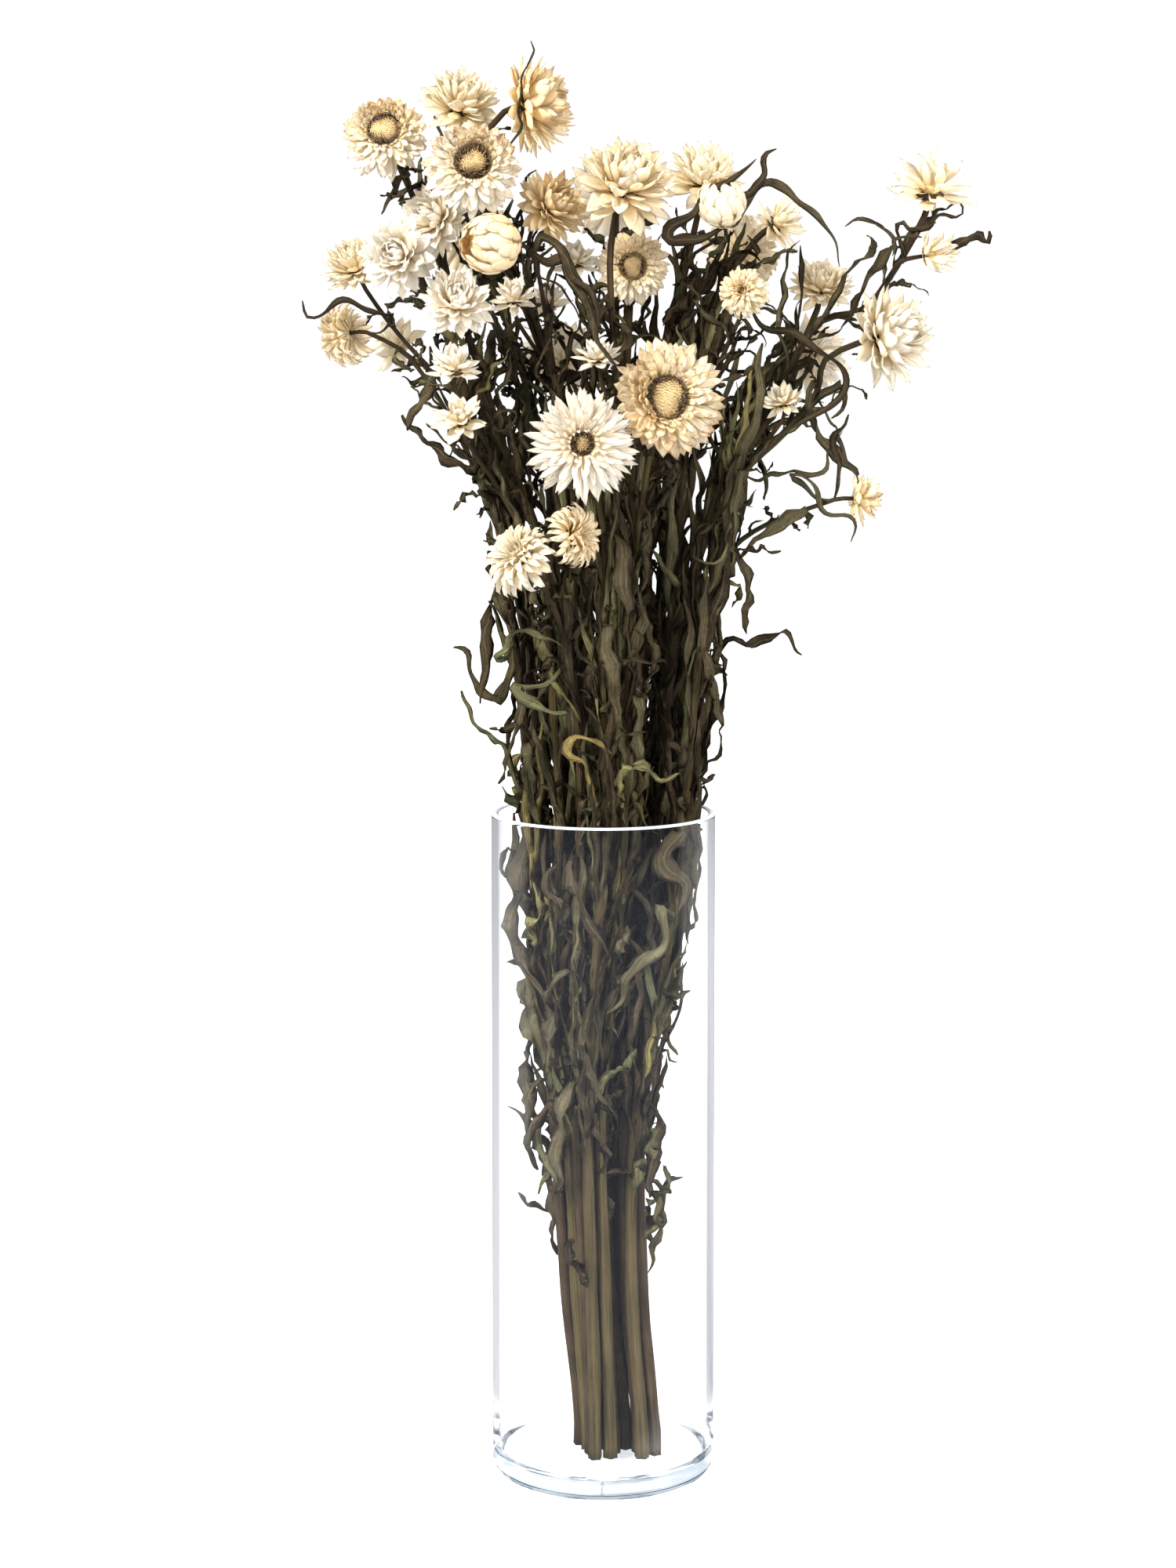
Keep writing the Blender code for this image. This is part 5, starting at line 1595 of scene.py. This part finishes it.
def disc_floret(mottle):
    made, tree, shader, _ = material("disc_floret")
    tone = mark(tree, "tone")
    fading = placed(tree, mottle, Size=260.0)
    body = ramp(tree, tone, (
        (0.0, (0.62, 0.47, 0.24)), (0.4, (0.42, 0.29, 0.13)), (0.7, (0.13, 0.08, 0.05)),
        (1.0, (0.050, 0.034, 0.030)),
    ))
    body = tinted(tree, body, times(tree, fading["Patches"], 0.3), (0.40, 0.30, 0.20))
    tree.links.new(body, shader.inputs["Base Color"])
    shader.inputs["Roughness"].default_value = 0.85
    relief_on(tree, shader, fading["Specks"], 0.0003, 0.5)
    return made


def dried_leaf(fibres, mottle):
    made, tree, shader, out = material("dried_leaf")
    along, across, tone, age, under = (mark(tree, name) for name in MARKS)
    veins = placed(tree, fibres, Along=along, Across=across, Seed=age, Fineness=5.0, Stretch=4.0)
    fading = placed(tree, mottle, Size=150.0)
    body = ramp(tree, tone, (
        (0.0, (0.024, 0.016, 0.010)), (0.30, (0.068, 0.050, 0.027)), (0.60, (0.150, 0.134, 0.070)),
        (0.78, (0.20, 0.21, 0.095)), (1.0, (0.46, 0.33, 0.10)),
    ))
    body = tinted(tree, body, times(tree, under, 0.30), (0.17, 0.150, 0.088))
    body = tinted(tree, body, times(tree, veins["Streaks"], 0.65), (0.022, 0.016, 0.010))
    body = tinted(tree, body, times(tree, fading["Patches"], 0.35), (0.105, 0.070, 0.036))
    midrib = times(tree, span(tree, calc(tree, "ABSOLUTE", across), 0.16, 0.04), 0.35)
    body = tinted(tree, body, midrib, (0.17, 0.15, 0.08))
    tree.links.new(body, shader.inputs["Base Color"])
    shader.inputs["Specular IOR Level"].default_value = 0.2
    tree.links.new(span(tree, veins["Relief"], 0.2, 0.8, 0.55, 0.85), shader.inputs["Roughness"])
    relief = calc(tree, "ADD", veins["Relief"], times(tree, fading["Patches"], 0.7))
    relief_on(tree, shader, relief, 0.0018, 1.0)
    through_light(tree, shader, out, body, 0.12)
    return made


def dried_stalk(fibres, mottle):
    made, tree, shader, _ = material("dried_stalk")
    along, across, tone = (mark(tree, name) for name in ("along", "across", "tone"))
    grain = placed(tree, fibres, Along=along, Across=across, Seed=tone, Fineness=9.0, Stretch=1.2)
    fading = placed(tree, mottle, Size=55.0)
    body = ramp(tree, tone, (
        (0.0, (0.038, 0.022, 0.012)), (0.45, (0.052, 0.034, 0.017)), (0.70, (0.080, 0.064, 0.022)),
        (1.0, (0.135, 0.120, 0.036)),
    ))
    body = tinted(tree, body, times(tree, grain["Streaks"], 0.80), (0.024, 0.016, 0.009))
    body = tinted(tree, body, times(tree, fading["Patches"], 0.35), (0.120, 0.078, 0.040))
    tree.links.new(body, shader.inputs["Base Color"])
    shader.inputs["Specular IOR Level"].default_value = 0.25
    tree.links.new(span(tree, grain["Relief"], 0.2, 0.8, 0.5, 0.8), shader.inputs["Roughness"])
    relief_on(tree, shader, grain["Relief"], 0.0022, 1.0)
    return made


def clear_glass():
    """Clear glass whose long way through the wall at the sides is a little blue-grey."""
    made, tree, shader, out = material("clear_glass")
    shader.inputs["Base Color"].default_value = (1.0, 1.0, 1.0, 1.0)
    shader.inputs["Roughness"].default_value = 0.0
    shader.inputs["IOR"].default_value = 1.5
    shader.inputs["Transmission Weight"].default_value = 1.0
    clear = node(tree, "ShaderNodeBsdfTransparent", {"Color": (0.93, 0.95, 0.96, 1.0)})
    ray = tree.nodes.new("ShaderNodeLightPath")
    both = node(tree, "ShaderNodeMixShader", {
        0: ray.outputs["Is Shadow Ray"], 1: shader.outputs[0], 2: clear.outputs[0]})
    tree.links.new(both.outputs[0], out.inputs["Surface"])
    depth = node(tree, "ShaderNodeVolumeAbsorption", {"Color": (0.45, 0.56, 0.66, 1.0), "Density": 16.0})
    tree.links.new(depth.outputs[0], out.inputs["Volume"])
    return made


def painted_rim_highlight():
    """The rim, smoothed in a flame, painted a pale blue-white and less clear than the rest of the glass: a
    painted highlight line.
    """
    made, _, shader, _ = material("painted_rim_highlight")
    shader.inputs["Base Color"].default_value = (0.78, 0.85, 0.95, 1.0)
    shader.inputs["Roughness"].default_value = 0.12
    shader.inputs["IOR"].default_value = 1.5
    shader.inputs["Transmission Weight"].default_value = 0.35
    return made


def pale_table():
    """A pale matt table. What the glass mirrors of it is painted dark, except a patch under the vase with
    swirled streaks at its edge, so that the glass shows painted dark edge lines and streaks; to scattered
    light it is half dark, painted shade on the stalks.
    """
    made, tree, shader, out = material("pale_table")
    where = tree.nodes.new("ShaderNodeTexCoord").outputs["Object"]
    grain = node(tree, "ShaderNodeTexNoise", {"Vector": where, "Scale": 12.0, "Detail": 3.0}).outputs[0]
    colour = blend_colours(tree, grain, (0.92, 0.92, 0.92, 1), (0.95, 0.95, 0.95, 1))
    tree.links.new(colour, shader.inputs["Base Color"])
    shader.inputs["Roughness"].default_value = 0.6
    shader.inputs["Emission Color"].default_value = (1.0, 1.0, 1.0, 1.0)
    shader.inputs["Emission Strength"].default_value = 0.5
    # The table as the glass mirrors it: a painted dark reflection.
    dark = node(tree, "ShaderNodeBsdfDiffuse", {"Color": (0.10, 0.11, 0.14, 1.0)})
    spot = node(tree, "ShaderNodeSeparateXYZ", {0: where})
    in_front = span(tree, spot.outputs[1], -0.06, -0.12)
    reach = node(tree, "ShaderNodeVectorMath", {0: where}, operation="LENGTH").outputs["Value"]
    # Swirled streaks round that patch, seen only in the glass: painted reflections.
    mirrored_swirls = {"Vector": where, "Scale": 38.0, "Detail": 2.0, "Distortion": 1.5}
    streaks = span(tree, node(tree, "ShaderNodeTexNoise", mirrored_swirls).outputs[0], 0.44, 0.56, 0.3, 1.0)
    close = times(tree, streaks, span(tree, reach, 0.16, 0.10))
    around = calc(tree, "MAXIMUM", close, span(tree, reach, 0.08, 0.14, 0.0, 0.72))
    unlit = times(tree, mirrored(tree), calc(tree, "MAXIMUM", in_front, around))
    # Half dark to scattered light: painted shade, so that the table's glow lights the stalks less.
    unlit = calc(tree, "MAXIMUM", unlit, times(tree, scattered(tree), 0.5))
    both = node(tree, "ShaderNodeMixShader", {0: unlit, 1: shader.outputs[0], 2: dark.outputs[0]})
    tree.links.new(both.outputs[0], out.inputs["Surface"])
    return made


# The stage.


def scattered(tree):
    """1 for light that has been scattered by a matt surface on its way."""
    ray = tree.nodes.new("ShaderNodeLightPath")
    return calc(tree, "MINIMUM", ray.outputs["Diffuse Depth"], 1.0)


def mirrored(tree):
    """1 where something is seen in a shiny surface, without any light scattered on the way."""
    ray = tree.nodes.new("ShaderNodeLightPath")
    shiny = calc(tree, "MINIMUM", ray.outputs["Glossy Depth"], 1.0)
    return times(tree, shiny, calc(tree, "SUBTRACT", 1.0, scattered(tree)))


def build_stage():
    size = 6.0  # half the table's side, in metres
    corners = [(-size, -size, 0), (size, -size, 0), (size, size, 0), (-size, size, 0)]
    mesh = bpy.data.meshes.new("table")
    mesh.from_pydata(corners, [], [(0, 1, 2, 3)])
    mesh.materials.append(pale_table())
    table = bpy.data.objects.new("table", mesh)
    bpy.context.scene.collection.objects.link(table)


def area_light(name, place, target, size, power, colour):
    light = bpy.data.lights.new(name, "AREA")
    light.shape = "DISK"
    light.size = size
    light.energy = power
    light.color = colour
    obj = bpy.data.objects.new(name, light)
    obj.location = place
    obj.rotation_euler = (Vector(target) - Vector(place)).to_track_quat("-Z", "Y").to_euler()
    bpy.context.scene.collection.objects.link(obj)
    obj.visible_camera = False
    obj.visible_glossy = False


def build_light():
    world = bpy.data.worlds.new("white_studio")
    world.use_nodes = True
    tree = world.node_tree
    back = tree.nodes["Background"]
    way = node(tree, "ShaderNodeSeparateXYZ", {0: tree.nodes.new("ShaderNodeTexCoord").outputs["Generated"]})
    behind = span(tree, way.outputs[1], 0.1, 0.5)
    ahead = span(tree, calc(tree, "ABSOLUTE", way.outputs[0]), 0.56, 0.36)
    lit = calc(tree, "MAXIMUM", times(tree, behind, ahead), span(tree, way.outputs[2], 0.35, 0.75))
    dim = times(tree, mirrored(tree), calc(tree, "SUBTRACT", 1.0, lit))
    seen = blend_colours(tree, dim, (1.0, 1.0, 1.0, 1.0), (0.08, 0.10, 0.14, 1.0))
    tree.links.new(seen, back.inputs["Color"])
    strength = calc(tree, "ADD", 1.02, times(tree, scattered(tree), -0.40))
    tree.links.new(strength, back.inputs["Strength"])
    bpy.context.scene.world = world
    area_light("key_light", (-1.1, -1.3, 1.6), (0, 0, 0.4), 0.7, 88.0, (1.0, 0.98, 0.94))
    area_light("fill_light", (1.3, -1.2, 0.9), (0, 0, 0.4), 0.8, 30.0, (1.0, 0.99, 0.97))
    area_light("back_light", (0.7, 1.4, 1.5), (0, 0, 0.45), 1.0, 30.0, (1.0, 1.0, 1.0))


def build_camera():
    data = bpy.data.cameras.new("camera")
    data.sensor_width = 36.0
    data.lens = 77.9
    data.shift_y = -0.12
    data.clip_start = 0.05
    data.clip_end = 30.0
    camera = bpy.data.objects.new("camera", data)
    camera.location = EYE
    camera.rotation_euler = Euler((math.radians(90 - LOOKS_DOWN), 0, 0))
    bpy.context.scene.collection.objects.link(camera)
    bpy.context.scene.camera = camera


build_camera()
build_stage()
build_light()
bpy.context.scene.view_settings.view_transform = "Standard"

heads, strands, leaves = layout()
fibres = make_fibres()
mottle = make_mottle()
petal_finish = papery_petal(fibres, mottle)
floret_finish = disc_floret(mottle)
leaf_finish = dried_leaf(fibres, mottle)
stalk_finish = dried_stalk(fibres, mottle)

build_vase(clear_glass(), painted_rim_highlight())
around = Neighbours(strands, heads, leaves)
standout = standout_leaves(strands)
for plant in range(len(PLANTS)):
    build_stalks(plant, strands, leaves, standout, around, [stalk_finish, leaf_finish])
for number, head in enumerate(heads.values(), 1):
    build_bloom(number, head, [petal_finish, floret_finish, stalk_finish])
